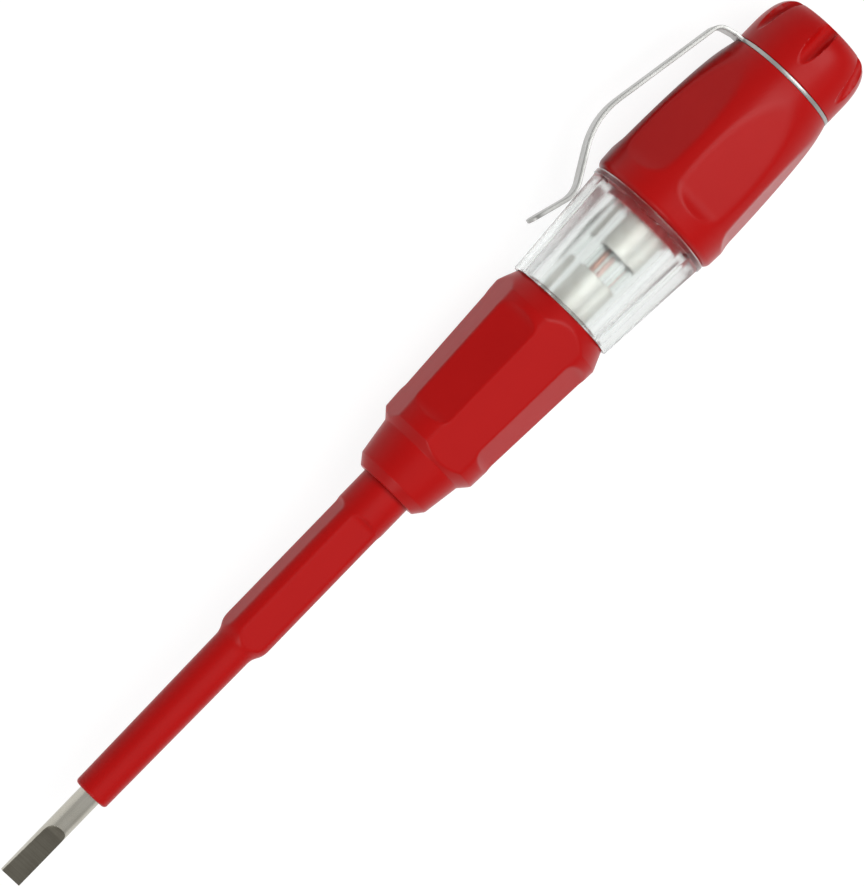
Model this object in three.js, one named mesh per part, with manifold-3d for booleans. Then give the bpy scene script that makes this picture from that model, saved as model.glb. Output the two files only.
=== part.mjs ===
// Pocket voltage tester with a screwdriver blade: a glow lamp, a series resistor and a contact spring lie in
// line inside a two-part handle, and a screw cap at the rear presses them onto the end of the blade.
// Millimetres. The tool lies along X with its tip at the origin, pointing along +X, and +Z is up.
// Stations along the tool are distances from the tip, so a station s lies at x = -s.
import * as THREE from "three";
import { mergeVertices } from "three/addons/utils/BufferGeometryUtils.js";
import Module from "manifold-3d";

const wasm = await Module();
wasm.setup();

// Clearances
const FIT_GAP = 0.1; // round each piece that is bonded or pressed into another
const CONTACT_GAP = 0.05; // between the faces that the spring presses together
const TURN_GAP = 0.3; // round what turns or slides beside another piece

// Blade
const BLADE_DIAMETER = 3;
const BLADE_EXPOSED = 13.7;
const TIP_THICKNESS = 0.7;
const WEDGE_LENGTH = 6.8;
const WEDGE_END_THICKNESS = 2.2;
const WEDGE_RUN_OUT = 4; // radius of the ground end of the wedge
const WING_LENGTH = 4; // the wings key the blade in the front handle
const WING_WIDTH = 4.6;
const WING_THICKNESS = 1.6;
const BLADE_TAIL = 1; // shank behind the wings

// Insulating sleeve
const SLEEVE_TIP_DIAMETER = 4.8;
const SLEEVE_TIP_ROUND = 0.5;
const SLEEVE_THIN_DIAMETER = 5.2;
const SLEEVE_THIN_LENGTH = 24.2;
const SLEEVE_FLARE_LENGTH = 3;
const SLEEVE_GRIP_DIAMETER = 7;
const SLEEVE_GRIP_LENGTH = 23.7;
const SLEEVE_ACROSS_FLATS = 5.95;
const SLEEVE_FLAT_COUNT = 4;
const SLEEVE_ROUND_LENGTH = 5.4; // plain round length between the flats and the nose
const SLEEVE_RUN_OUT = 1.2;
const SLEEVE_INSERT = 5;

// Front handle
const NOSE_LENGTH = 6;
const NOSE_LIP = 1.1;
const NOSE_FRONT_DIAMETER = 10.4;
const NOSE_REAR_DIAMETER = 11.9;
const SHOULDER_LENGTH = 1.3;
const GRIP_LENGTH = 20.2;
const GRIP_FRONT_DIAMETER = 14.2;
const GRIP_REAR_DIAMETER = 16.1;
const GRIP_CHAMFER_LENGTH = 2.5;
const GRIP_END_DIAMETER = 14;
const GRIP_FLAT_COUNT = 4;
const GRIP_FLAT_DEPTH = 0.62; // of the flats that run from end to end
const PANEL_DEPTH = 0.68; // of the sunk panels between those flats
const PANEL_FRONT_MARGIN = 3.4;
const PANEL_REAR_MARGIN = 1.2;
const PANEL_RUN_OUT = 1.1;

// Lamp window
const WINDOW_LENGTH = 15.7;
const WINDOW_FACETS = 10;
const WINDOW_FRONT_DIAMETER = 15.2;
const WINDOW_REAR_DIAMETER = 17.2;
const WINDOW_COLLAR_LENGTH = 0.7;
const WINDOW_COLLAR_DIAMETER = 17.4;
const WINDOW_FRONT_SPIGOT_DIAMETER = 10.5;
const WINDOW_FRONT_SPIGOT_LENGTH = 6.5;
const WINDOW_REAR_SPIGOT_DIAMETER = 12;
const WINDOW_REAR_SPIGOT_LENGTH = 7.5;
const LAMP_CHAMBER_GAP = 1.1; // round the lamp, behind its seat
const LAMP_SEAT_DEPTH = 0.6; // how far the lamp's close seat reaches behind the window's front face
const WINDOW_TURN = 24.5; // degrees from the top to the middle of a facet, towards the clip

// Rear handle
const REAR_LENGTH = 22.6;
const REAR_FRONT_DIAMETER = 18.2;
const REAR_FRONT_ROUND = 1;
const REAR_SWELL = 0.4; // pulls the barrel's curve out past its front diameter
const REAR_SWELL_START = 6.5; // where that pull acts, from the front
const REAR_FALL_START = 6; // where the barrel turns in, from its rear end
const REAR_END_DIAMETER = 14.9;
const SCOOP_COUNT = 6;
const SCOOP_START = 6; // from the handle's front to where a scoop's floor begins
const SCOOP_FRONT_ACROSS = 17.06;
const SCOOP_REAR_ACROSS = 15.9;
const SCOOP_RUN_OUT = 4.3;

// End cap and its stud
const CAP_LENGTH = 7.9;
const CAP_DIAMETER = 14.9;
const CAP_STRAIGHT = 2.5;
const CAP_CROWN_CORNER = 1.55; // from the end face to the corner that the crown rounds off
const CAP_SHOULDER_DIAMETER = 11.5; // where the crown turns into the end face
const CAP_FACE_DIAMETER = 10;
const NOTCH_COUNT = 6;
const NOTCH_RADIUS = 1.5;
const NOTCH_DEPTH = 0.65;
const CAP_TURN = 21; // degrees from the top to a notch, towards the clip
const STUD_DIAMETER = 6;
const STUD_THREAD_LENGTH = 9;
const STUD_FLANGE_DIAMETER = 9.5;
const STUD_FLANGE_LENGTH = 0.8;
const STUD_BOSS_DIAMETER = 7;
const STUD_BOSS_LENGTH = 3.5;

// Pocket clip, one strip of sheet with four bends
const CLIP_THICKNESS = 0.5;
const CLIP_WIDTH = 4.5;
const CLIP_TURN = 105; // degrees from the top to the clip
const CLIP_LEG_START = 0.6; // from the cap's rim to where the leg begins to lean
const CLIP_LEG_LEAN = 1.35;
const CLIP_LEG_HEIGHT = 3.35; // from the cap's rim to the corner at the top of the leg
const CLIP_CORNER_BEND = 1;
const CLIP_CORNER_RUN = 1.5; // from that corner to where the arm begins
const CLIP_BACK_ANGLE = 8.7;
const CLIP_CREST_BEND = 10;
const CLIP_DROP_ANGLE = 34.2;
const CLIP_REACH = 27.35; // from the ring to the corner of the belly
const CLIP_BELLY_BEND = 3.6;
const CLIP_CLEARANCE = 0.2; // between the belly and the window
const CLIP_TAIL_ANGLE = 15.6;
const CLIP_TAIL_LENGTH = 6.6;
const CLIP_TAIL_ROUND = 1.6;

// Lamp, resistor and spring
const LAMP_LENGTH = 17.5;
const LAMP_LEAD_IN = 1.1; // how far the lamp reaches in front of the window's front face
const LAMP_CAP_DIAMETER = 6;
const LAMP_CAP_LENGTH = 7;
const LAMP_CAP_BASE = 0.8;
const LAMP_CAP_WALL = 0.25;
const LAMP_GLASS_WALL = 0.5;
const ELECTRODE_DIAMETER = 1.1;
const ELECTRODE_LENGTH = 3.4;
const ELECTRODE_SPACE = 0.5; // between the two electrodes
const LEAD_DIAMETER = 0.5;
const RESISTOR_LENGTH = 12;
const RESISTOR_CAP_DIAMETER = 4.8;
const RESISTOR_CAP_WALL = 0.2;
const RESISTOR_CAP_LENGTH = 2.2;
const RESISTOR_CAP_BASE = 0.5;
const CUP_LENGTH = 1.6;
const CUP_FLOOR = 0.6;
const CUP_WALL = 0.35;
const SPRING_WIRE = 0.5;
const SPRING_TURNS = 9;

// Facets
const ROUND_SEGMENTS = 48;
const FINE_SEGMENTS = 24; // on small round pieces
const CURVE_STEPS = 6;
const COIL_STEPS = 8; // for each turn of the spring
const COIL_SIDES = 5;

// Stations along the tool
const sleeveFront = BLADE_EXPOSED;
const flareFront = sleeveFront + SLEEVE_THIN_LENGTH;
const sleeveGrip = flareFront + SLEEVE_FLARE_LENGTH;
const noseFront = sleeveGrip + SLEEVE_GRIP_LENGTH;
const sleeveRear = noseFront + SLEEVE_INSERT;
const noseRear = noseFront + NOSE_LENGTH;
const gripFront = noseRear + SHOULDER_LENGTH;
const gripRear = gripFront + GRIP_LENGTH;
const windowFront = gripRear + GRIP_CHAMFER_LENGTH;
const windowRear = windowFront + WINDOW_LENGTH;
const rearFront = windowRear + CONTACT_GAP;
const rearEnd = rearFront + REAR_LENGTH;
const ringFront = rearEnd + CONTACT_GAP;
const capFront = ringFront + CLIP_THICKNESS + CONTACT_GAP;
const capEnd = capFront + CAP_LENGTH;
const lampFront = windowFront - LAMP_LEAD_IN;
const lampRear = lampFront + LAMP_LENGTH;
const resistorRear = lampFront - CONTACT_GAP;
const resistorFront = resistorRear - RESISTOR_LENGTH;
const bladeEnd = resistorFront - CONTACT_GAP;
const wingRear = bladeEnd - BLADE_TAIL;
const wingFront = wingRear - WING_LENGTH;
const studFront = capFront - STUD_THREAD_LENGTH;
const cupRear = studFront - CONTACT_GAP;
const cupFront = cupRear - CUP_LENGTH;
const springFront = lampRear + CONTACT_GAP;
const springRear = cupRear - CUP_FLOOR - CONTACT_GAP;

// Diameters of the pieces that fit inside others
const studBore = STUD_DIAMETER + 2 * FIT_GAP;
const lampSeat = LAMP_CAP_DIAMETER + 2 * FIT_GAP;
const lampCapBore = LAMP_CAP_DIAMETER - 2 * LAMP_CAP_WALL;
const lampGlass = lampCapBore - 2 * FIT_GAP;
const resistorPassage = RESISTOR_CAP_DIAMETER + 2 * FIT_GAP;
const resistorCapBore = RESISTOR_CAP_DIAMETER - 2 * RESISTOR_CAP_WALL;
const resistorRod = resistorCapBore - 2 * FIT_GAP;
const cupDiameter = studBore - 2 * TURN_GAP;
const cupBore = cupDiameter - 2 * CUP_WALL;
const springDiameter = cupBore - 2 * FIT_GAP;

// Finishes
const RED_PLASTIC = { color: 0xb01818, roughness: 0.3, metalness: 0 };
const CLEAR_PLASTIC = { color: 0xe4ebe8, roughness: 0.05, metalness: 0 };
const CLEAR_GLASS = { color: 0xeef0ee, roughness: 0.02, metalness: 0 };
const NICKEL = { color: 0xc4c4c0, roughness: 0.25, metalness: 1 };
const SPRING_STEEL = { color: 0xaeb0b0, roughness: 0.3, metalness: 1 };
const BRASS = { color: 0xc2a050, roughness: 0.35, metalness: 1 };
const COPPER = { color: 0xb87a64, roughness: 0.4, metalness: 1 };
const CERAMIC = { color: 0x8a6a4c, roughness: 0.7, metalness: 0 };

// A closed geometry as a solid: seams are merged and triangles that have collapsed are dropped.
function solid(geometry) {
  const bare = geometry.clone();
  bare.deleteAttribute("normal");
  bare.deleteAttribute("uv");
  const merged = mergeVertices(bare, 1e-5);
  const corners = merged.index.array;
  const kept = [];
  for (let i = 0; i < corners.length; i += 3) {
    const [a, b, c] = corners.slice(i, i + 3);
    if (a !== b && b !== c && c !== a) kept.push(a, b, c);
  }
  return new wasm.Manifold(
    new wasm.Mesh({
      numProp: 3,
      vertProperties: merged.attributes.position.array,
      triVerts: new Uint32Array(kept),
    }),
  );
}

// Draws an outline in (station, height) points. Each step is a point, or a curve's controls and its end.
function outline(start, ...steps) {
  const path = new THREE.Path().moveTo(...start);
  for (const step of steps) {
    if (step.length === 2) path.lineTo(...step);
    if (step.length === 4) path.quadraticCurveTo(...step);
    if (step.length === 6) path.bezierCurveTo(...step);
  }
  return path;
}

// Turns an outline about the tool's axis. It runs rearwards on the outside and back on the inside.
function revolve(path, segments = ROUND_SEGMENTS) {
  const points = path.getPoints(CURVE_STEPS).map((p) => new THREE.Vector2(p.y, p.x));
  const closed = [...points, points[0].clone()];
  return solid(new THREE.LatheGeometry(closed, segments).rotateZ(Math.PI / 2));
}

// A plain round piece between two stations, given in either order.
function rod(oneEnd, otherEnd, diameter, segments = ROUND_SEGMENTS) {
  const [from, to] = [oneEnd, otherEnd].sort((a, b) => a - b);
  const r = diameter / 2;
  return revolve(outline([from, 0], [from, r], [to, r], [to, 0]), segments);
}

// Extrudes an outline across the tool, standing on the axis, then turns it about the axis from the top.
function across(path, width, degrees = 0) {
  const shape = new THREE.Shape(path.getPoints(CURVE_STEPS));
  const geometry = new THREE.ExtrudeGeometry(shape, { depth: width, bevelEnabled: false });
  geometry.translate(0, 0, -width / 2).rotateX(Math.PI / 2).rotateZ(Math.PI);
  return solid(geometry.rotateX(THREE.MathUtils.degToRad(degrees)));
}

// The space that a flat takes away. Its floor runs between two (station, height) points, and an end with a
// run-out radius curves up out of the surface, as a milled flat does.
function flatCut({ from, to, frontRunOut = 0, rearRunOut = 0, degrees }) {
  const slope = Math.atan2(to[1] - from[1], to[0] - from[0]);
  const above = REAR_FRONT_DIAMETER;
  const wide = 2 * REAR_FRONT_DIAMETER;
  const floorAngle = 1.5 * Math.PI + slope;
  const path = new THREE.Path().moveTo(to[0] + rearRunOut, above).lineTo(from[0] - frontRunOut, above);
  const arc = ([station, height], radius, startAngle, endAngle) => {
    const centre = [station - radius * Math.sin(slope), height + radius * Math.cos(slope)];
    path.absarc(...centre, radius, startAngle, endAngle);
  };
  if (frontRunOut) arc(from, frontRunOut, Math.PI, floorAngle);
  else path.lineTo(...from);
  path.lineTo(...to);
  if (rearRunOut) arc(to, rearRunOut, floorAngle, 2 * Math.PI);
  return across(path, wide, degrees);
}

// Cuts one flat out of a body at each of several equal turns.
function cutFlats(body, count, flat, startDegrees = 0) {
  for (let i = 0; i < count; i++) {
    body = body.subtract(flatCut({ ...flat, degrees: startDegrees + (i * 360) / count }));
  }
  return body;
}

// A sheet-metal cup, from the station of its base to that of its rim.
function cup({ base, rim, diameter, bore, floor }) {
  const inwards = Math.sign(rim - base) * floor;
  const hollow = rod(base + inwards, rim + inwards, bore, FINE_SEGMENTS);
  return rod(base, rim, diameter, FINE_SEGMENTS).subtract(hollow);
}

function piece(name, body, finish) {
  const { vertProperties, triVerts } = body.getMesh();
  const geometry = new THREE.BufferGeometry();
  geometry.setAttribute("position", new THREE.BufferAttribute(vertProperties, 3));
  geometry.setIndex(new THREE.BufferAttribute(triVerts, 1));
  const mesh = new THREE.Mesh(geometry, new THREE.MeshStandardMaterial({ ...finish, flatShading: true }));
  mesh.name = name;
  return mesh;
}

// Blade: a rod ground to a wedge on two sides, with wings near its hidden end.
function blade() {
  const wedge = {
    from: [-WEDGE_LENGTH, TIP_THICKNESS - WEDGE_END_THICKNESS / 2],
    to: [WEDGE_LENGTH, WEDGE_END_THICKNESS / 2],
    rearRunOut: WEDGE_RUN_OUT,
  };
  const shank = cutFlats(rod(0, bladeEnd, BLADE_DIAMETER, FINE_SEGMENTS), 2, wedge);
  return shank.add(wings(0));
}

// The blade's wings, or, with a gap, the slot that takes them.
function wings(gap) {
  const half = WING_THICKNESS / 2 + gap;
  const front = wingFront - gap;
  const path = outline([front, -half], [wingRear, -half], [wingRear, half], [front, half]);
  return across(path, WING_WIDTH + 2 * gap);
}

// Sleeve: thin and round in front, flared to a thicker length with flats, its rear end inside the nose.
function bladeSleeve() {
  const bore = BLADE_DIAMETER / 2 + FIT_GAP;
  const tip = SLEEVE_TIP_DIAMETER / 2;
  const thin = SLEEVE_THIN_DIAMETER / 2;
  const grip = SLEEVE_GRIP_DIAMETER / 2;
  const flareMiddle = flareFront + SLEEVE_FLARE_LENGTH / 2;
  const tube = revolve(
    outline(
      [sleeveFront, bore],
      [sleeveFront, tip - SLEEVE_TIP_ROUND],
      [sleeveFront, tip, sleeveFront + SLEEVE_TIP_ROUND, tip],
      [flareFront, thin],
      [flareMiddle, thin, flareMiddle, grip, sleeveGrip, grip],
      [sleeveRear, grip],
      [sleeveRear, bore],
    ),
  );
  const floor = SLEEVE_ACROSS_FLATS / 2;
  const flat = {
    from: [flareFront, floor],
    to: [noseFront - SLEEVE_ROUND_LENGTH, floor],
    rearRunOut: SLEEVE_RUN_OUT,
  };
  return cutFlats(tube, SLEEVE_FLAT_COUNT, flat);
}

// The grip's radius at a station, on its plain taper.
function gripRadius(station) {
  const share = (station - gripFront) / GRIP_LENGTH;
  return THREE.MathUtils.lerp(GRIP_FRONT_DIAMETER, GRIP_REAR_DIAMETER, share) / 2;
}

// Front handle: a tapered nose and a tapered grip with flats from end to end and sunk panels between them.
function frontHandle() {
  const noseBore = SLEEVE_GRIP_DIAMETER / 2 + FIT_GAP;
  const bladeBore = BLADE_DIAMETER / 2 + FIT_GAP;
  const resistorBore = resistorPassage / 2;
  const socket = WINDOW_FRONT_SPIGOT_DIAMETER / 2 + FIT_GAP;
  const sleeveStop = sleeveRear + FIT_GAP;
  const socketFront = windowFront - WINDOW_FRONT_SPIGOT_LENGTH - FIT_GAP;
  const lip = NOSE_FRONT_DIAMETER / 2;
  let body = revolve(
    outline(
      [noseFront, noseBore],
      [noseFront, lip - NOSE_LIP],
      [noseFront, lip, noseFront + NOSE_LIP, lip],
      [noseRear, NOSE_REAR_DIAMETER / 2],
      [gripFront, gripRadius(gripFront)],
      [gripRear, gripRadius(gripRear)],
      [windowFront, GRIP_END_DIAMETER / 2],
      [windowFront, socket],
      [socketFront, socket],
      [socketFront, resistorBore],
      [wingRear, resistorBore],
      [wingRear, bladeBore],
      [sleeveStop, bladeBore],
      [sleeveStop, noseBore],
    ),
  );
  const floorAt = (station, depth) => [station, gripRadius(station) - depth];
  const flat = {
    from: floorAt(noseRear, GRIP_FLAT_DEPTH),
    to: floorAt(windowFront, GRIP_FLAT_DEPTH),
  };
  const panel = {
    from: floorAt(gripFront + PANEL_FRONT_MARGIN, PANEL_DEPTH),
    to: floorAt(gripRear - PANEL_REAR_MARGIN, PANEL_DEPTH),
    frontRunOut: PANEL_RUN_OUT,
    rearRunOut: PANEL_RUN_OUT,
  };
  body = cutFlats(body, GRIP_FLAT_COUNT, flat);
  body = cutFlats(body, GRIP_FLAT_COUNT, panel, 180 / GRIP_FLAT_COUNT);
  return body.subtract(wings(FIT_GAP));
}

// Window: a faceted, tapered clear tube with a collar, and a spigot at each end inside the handles.
function windowTube() {
  const collarFront = windowRear - WINDOW_COLLAR_LENGTH;
  const faceted = revolve(
    outline(
      [windowFront, 0],
      [windowFront, WINDOW_FRONT_DIAMETER / 2],
      [collarFront, WINDOW_REAR_DIAMETER / 2],
      [collarFront, 0],
    ),
    WINDOW_FACETS,
  );
  const spigotFront = windowFront - WINDOW_FRONT_SPIGOT_LENGTH;
  const spigotRear = windowRear + WINDOW_REAR_SPIGOT_LENGTH;
  const chamberFront = windowFront + LAMP_SEAT_DEPTH;
  return faceted
    .add(rod(collarFront, windowRear, WINDOW_COLLAR_DIAMETER))
    .add(rod(spigotFront, windowFront, WINDOW_FRONT_SPIGOT_DIAMETER))
    .add(rod(windowRear, spigotRear, WINDOW_REAR_SPIGOT_DIAMETER))
    .subtract(rod(spigotFront, spigotRear, resistorPassage))
    .subtract(rod(lampFront - TURN_GAP, spigotRear, lampSeat))
    .subtract(rod(chamberFront, spigotRear, LAMP_CAP_DIAMETER + 2 * LAMP_CHAMBER_GAP));
}

// Rear handle: a barrel with thumb scoops, a socket for the window and a threaded bore for the stud.
function rearHandle() {
  const socket = WINDOW_REAR_SPIGOT_DIAMETER / 2 + FIT_GAP;
  const socketRear = windowRear + WINDOW_REAR_SPIGOT_LENGTH + FIT_GAP;
  const bore = studBore / 2;
  const front = REAR_FRONT_DIAMETER / 2;
  const barrelFront = rearFront + REAR_FRONT_ROUND;
  const barrel = revolve(
    outline(
      [rearFront, socket],
      [rearFront, front - REAR_FRONT_ROUND],
      [rearFront, front, barrelFront, front],
      [
        barrelFront + REAR_SWELL_START,
        front + REAR_SWELL,
        rearEnd - REAR_FALL_START,
        front,
        rearEnd,
        REAR_END_DIAMETER / 2,
      ],
      [rearEnd, bore],
      [socketRear, bore],
      [socketRear, socket],
    ),
  );
  const scoop = {
    from: [rearFront + SCOOP_START, SCOOP_FRONT_ACROSS / 2],
    to: [rearEnd, SCOOP_REAR_ACROSS / 2],
    frontRunOut: SCOOP_RUN_OUT,
  };
  return cutFlats(barrel, SCOOP_COUNT, scoop);
}

// End cap: a crowned cap with grip notches that deepen towards its end, moulded round the stud.
function endCap() {
  const rim = CAP_DIAMETER / 2;
  const shoulder = CAP_SHOULDER_DIAMETER / 2;
  const face = CAP_FACE_DIAMETER / 2;
  const crownFront = capFront + CAP_STRAIGHT;
  const edge = (shoulder - face) / 2;
  const crownRear = capEnd - edge;
  let body = revolve(
    outline(
      [capFront, 0],
      [capFront, rim],
      [crownFront, rim],
      [capEnd - CAP_CROWN_CORNER, rim, crownRear, shoulder],
      [capEnd, shoulder - edge, capEnd, face],
      [capEnd, 0],
    ),
  );
  const fall = rim - shoulder + NOTCH_DEPTH;
  const tilt = Math.atan2(fall, crownRear - crownFront);
  const long = 2 * CAP_LENGTH;
  const middle = (crownFront + crownRear) / 2;
  const height = rim - fall / 2 + NOTCH_RADIUS / Math.cos(tilt);
  for (let i = 0; i < NOTCH_COUNT; i++) {
    const notch = new THREE.CylinderGeometry(NOTCH_RADIUS, NOTCH_RADIUS, long, FINE_SEGMENTS);
    notch.rotateZ(Math.PI / 2).rotateY(-tilt).translate(-middle, 0, height);
    body = body.subtract(solid(notch.rotateX((i * 2 * Math.PI) / NOTCH_COUNT)));
  }
  const flangeRear = capFront + STUD_FLANGE_LENGTH + FIT_GAP;
  const bossRear = flangeRear + STUD_BOSS_LENGTH;
  return body
    .subtract(rod(capFront - STUD_FLANGE_LENGTH, flangeRear, STUD_FLANGE_DIAMETER + 2 * FIT_GAP))
    .subtract(rod(capFront, bossRear, STUD_BOSS_DIAMETER + 2 * FIT_GAP));
}

// Stud: a screw with a flange that bears on the clip's ring and a boss held in the cap.
function contactStud() {
  const flangeRear = capFront + STUD_FLANGE_LENGTH;
  return rod(studFront, capFront, STUD_DIAMETER)
    .add(rod(capFront, flangeRear, STUD_FLANGE_DIAMETER))
    .add(rod(flangeRear, flangeRear + STUD_BOSS_LENGTH, STUD_BOSS_DIAMETER));
}

// The clip's corners as (station, height) points: from the ring up the leg, along the back to the crest, down
// to the belly on the window and up the tail.
function clipCorners() {
  const back = THREE.MathUtils.degToRad(CLIP_BACK_ANGLE);
  const drop = THREE.MathUtils.degToRad(CLIP_DROP_ANGLE);
  const tail = THREE.MathUtils.degToRad(CLIP_TAIL_ANGLE);
  const middle = ringFront + CLIP_THICKNESS / 2;
  const rim = CAP_DIAMETER / 2;
  const foot = new THREE.Vector2(middle, rim - CLIP_WIDTH / 2);
  const lean = new THREE.Vector2(middle, rim + CLIP_LEG_START);
  const corner = new THREE.Vector2(middle - CLIP_LEG_LEAN, rim + CLIP_LEG_HEIGHT);
  const bellyStation = middle - CLIP_REACH;
  const share = (bellyStation - windowFront) / (WINDOW_LENGTH - WINDOW_COLLAR_LENGTH);
  const windowRadius = THREE.MathUtils.lerp(WINDOW_FRONT_DIAMETER, WINDOW_REAR_DIAMETER, share) / 2;
  const bendLift = CLIP_BELLY_BEND * (Math.cos((drop - tail) / 2) / Math.cos((drop + tail) / 2) - 1);
  const bellyHeight = windowRadius + CLIP_CLEARANCE + CLIP_THICKNESS / 2 - bendLift;
  const belly = new THREE.Vector2(bellyStation, bellyHeight);
  const toBelly = corner.clone().sub(belly);
  const fromBelly = (toBelly.y + toBelly.x * Math.tan(back)) / (Math.tan(drop) + Math.tan(back));
  const crest = new THREE.Vector2(fromBelly, fromBelly * Math.tan(drop)).add(belly);
  const end = new THREE.Vector2(-Math.cos(tail), Math.sin(tail)).multiplyScalar(CLIP_TAIL_LENGTH).add(belly);
  const alongBack = crest.clone().sub(corner).normalize();
  const split = (distance) => alongBack.clone().multiplyScalar(distance).add(corner);
  return { foot, lean, corner, split, crest, belly, end };
}

// A strip of the clip's sheet along a line of corners, each rounded to its bend's radius.
function strip(corners, bends) {
  const path = new THREE.Path().moveTo(corners[0].x, corners[0].y);
  bends.forEach((radius, i) => {
    const [before, corner, after] = corners.slice(i, i + 3);
    const arriving = before.clone().sub(corner).normalize();
    const leaving = after.clone().sub(corner).normalize();
    const half = Math.acos(arriving.dot(leaving)) / 2;
    const inwards = arriving.clone().add(leaving).normalize();
    const centre = inwards.multiplyScalar(radius / Math.sin(half)).add(corner);
    const clockwise = arriving.cross(leaving) > 0;
    const first = arriving.multiplyScalar(radius / Math.tan(half)).add(corner);
    const last = leaving.multiplyScalar(radius / Math.tan(half)).add(corner);
    path.lineTo(first.x, first.y);
    const [startAngle, endAngle] = [first.sub(centre).angle(), last.sub(centre).angle()];
    path.absarc(centre.x, centre.y, radius, startAngle, endAngle, clockwise);
  });
  const points = path.lineTo(corners.at(-1).x, corners.at(-1).y).getPoints(CURVE_STEPS);
  const side = (distance) =>
    points.map((point, i) => {
      const before = points[Math.max(i - 1, 0)];
      const after = points[Math.min(i + 1, points.length - 1)];
      const along = after.clone().sub(before).normalize();
      return new THREE.Vector2(-along.y, along.x).multiplyScalar(distance).add(point);
    });
  const [left, right] = [side(CLIP_THICKNESS / 2), side(-CLIP_THICKNESS / 2)];
  return across(new THREE.Path([...left, ...right.reverse()]), CLIP_WIDTH);
}

// Ring: a washer that turns on the stud, with the clip's leg and the bend at its top.
function clipRing() {
  const { foot, lean, corner, split } = clipCorners();
  const ringRear = ringFront + CLIP_THICKNESS;
  const hole = rod(ringFront - CLIP_THICKNESS, ringRear + CLIP_THICKNESS, STUD_DIAMETER + 2 * TURN_GAP);
  const leg = strip([foot, lean, corner, split(CLIP_CORNER_RUN)], [CLIP_CORNER_BEND, CLIP_CORNER_BEND]);
  return rod(ringFront, ringRear, CAP_DIAMETER).subtract(hole).add(leg);
}

// Arm: the rest of the strip, with a rounded tail.
function clipArm() {
  const { split, crest, belly, end } = clipCorners();
  const start = split(CLIP_CORNER_RUN + CONTACT_GAP);
  const arm = strip([start, crest, belly, end], [CLIP_CREST_BEND, CLIP_BELLY_BEND]);
  const half = CLIP_WIDTH / 2;
  const side = half - CLIP_TAIL_ROUND;
  const plan = new THREE.Shape()
    .moveTo(-start.x - CLIP_THICKNESS, -half)
    .lineTo(-end.x - CLIP_TAIL_ROUND, -half)
    .absarc(-end.x - CLIP_TAIL_ROUND, -side, CLIP_TAIL_ROUND, -Math.PI / 2, 0)
    .absarc(-end.x - CLIP_TAIL_ROUND, side, CLIP_TAIL_ROUND, 0, Math.PI / 2)
    .lineTo(-start.x - CLIP_THICKNESS, half);
  const shape = new THREE.Shape(plan.getPoints(CURVE_STEPS));
  const rounded = new THREE.ExtrudeGeometry(shape, { depth: 2 * crest.y, bevelEnabled: false });
  return arm.intersect(solid(rounded));
}

// Spring: one unbroken wire. The least distance between neighbouring turns is printed.
function contactSpring() {
  const [front, rear] = [springFront + SPRING_WIRE / 2, springRear - SPRING_WIRE / 2];
  const radius = (springDiameter - SPRING_WIRE) / 2;
  const count = SPRING_TURNS * COIL_STEPS;
  const rings = [];
  for (let i = 0; i <= count; i++) {
    const turn = (i / COIL_STEPS) * 2 * Math.PI;
    const out = new THREE.Vector3(0, Math.sin(turn), Math.cos(turn));
    const station = THREE.MathUtils.lerp(front, rear, i / count);
    rings.push({ centre: out.clone().multiplyScalar(radius).setX(-station), out });
  }
  const rise = (rear - front) / (SPRING_TURNS * 2 * Math.PI * radius);
  const positions = [];
  for (const { centre, out } of rings) {
    const along = new THREE.Vector3(-rise, out.z, -out.y).normalize();
    const side = new THREE.Vector3().crossVectors(along, out);
    for (let k = 0; k < COIL_SIDES; k++) {
      const angle = (k / COIL_SIDES) * 2 * Math.PI;
      const offset = out.clone().multiplyScalar(Math.cos(angle)).addScaledVector(side, Math.sin(angle));
      positions.push(...offset.multiplyScalar(SPRING_WIRE / 2).add(centre));
    }
  }
  const index = [];
  for (let i = 0; i < count; i++) {
    for (let k = 0; k < COIL_SIDES; k++) {
      const [a, b] = [i * COIL_SIDES + k, i * COIL_SIDES + ((k + 1) % COIL_SIDES)];
      index.push(a, b, b + COIL_SIDES, a, b + COIL_SIDES, a + COIL_SIDES);
    }
  }
  for (let k = 1; k < COIL_SIDES - 1; k++) {
    const last = count * COIL_SIDES;
    index.push(0, k + 1, k, last, last + k, last + k + 1);
  }
  const geometry = new THREE.BufferGeometry();
  geometry.setAttribute("position", new THREE.Float32BufferAttribute(positions, 3));
  geometry.setIndex(index);
  let least = Infinity;
  for (let i = 0; i <= count; i++) {
    for (let j = i + COIL_STEPS / 2; j <= count; j++) {
      least = Math.min(least, rings[i].centre.distanceTo(rings[j].centre) - SPRING_WIRE);
    }
  }
  console.log(`contact_spring: least gap between turns ${least.toFixed(2)} mm`);
  return solid(geometry);
}

// Electrode: a thin lead from a lamp cap's base and a thicker rod beside the other electrode.
function electrode(base, tip) {
  const shoulder = tip - Math.sign(tip - base) * ELECTRODE_LENGTH;
  const lead = rod(base, shoulder, LEAD_DIAMETER, COIL_STEPS);
  return lead.add(rod(shoulder, tip, ELECTRODE_DIAMETER, COIL_STEPS));
}

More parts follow.
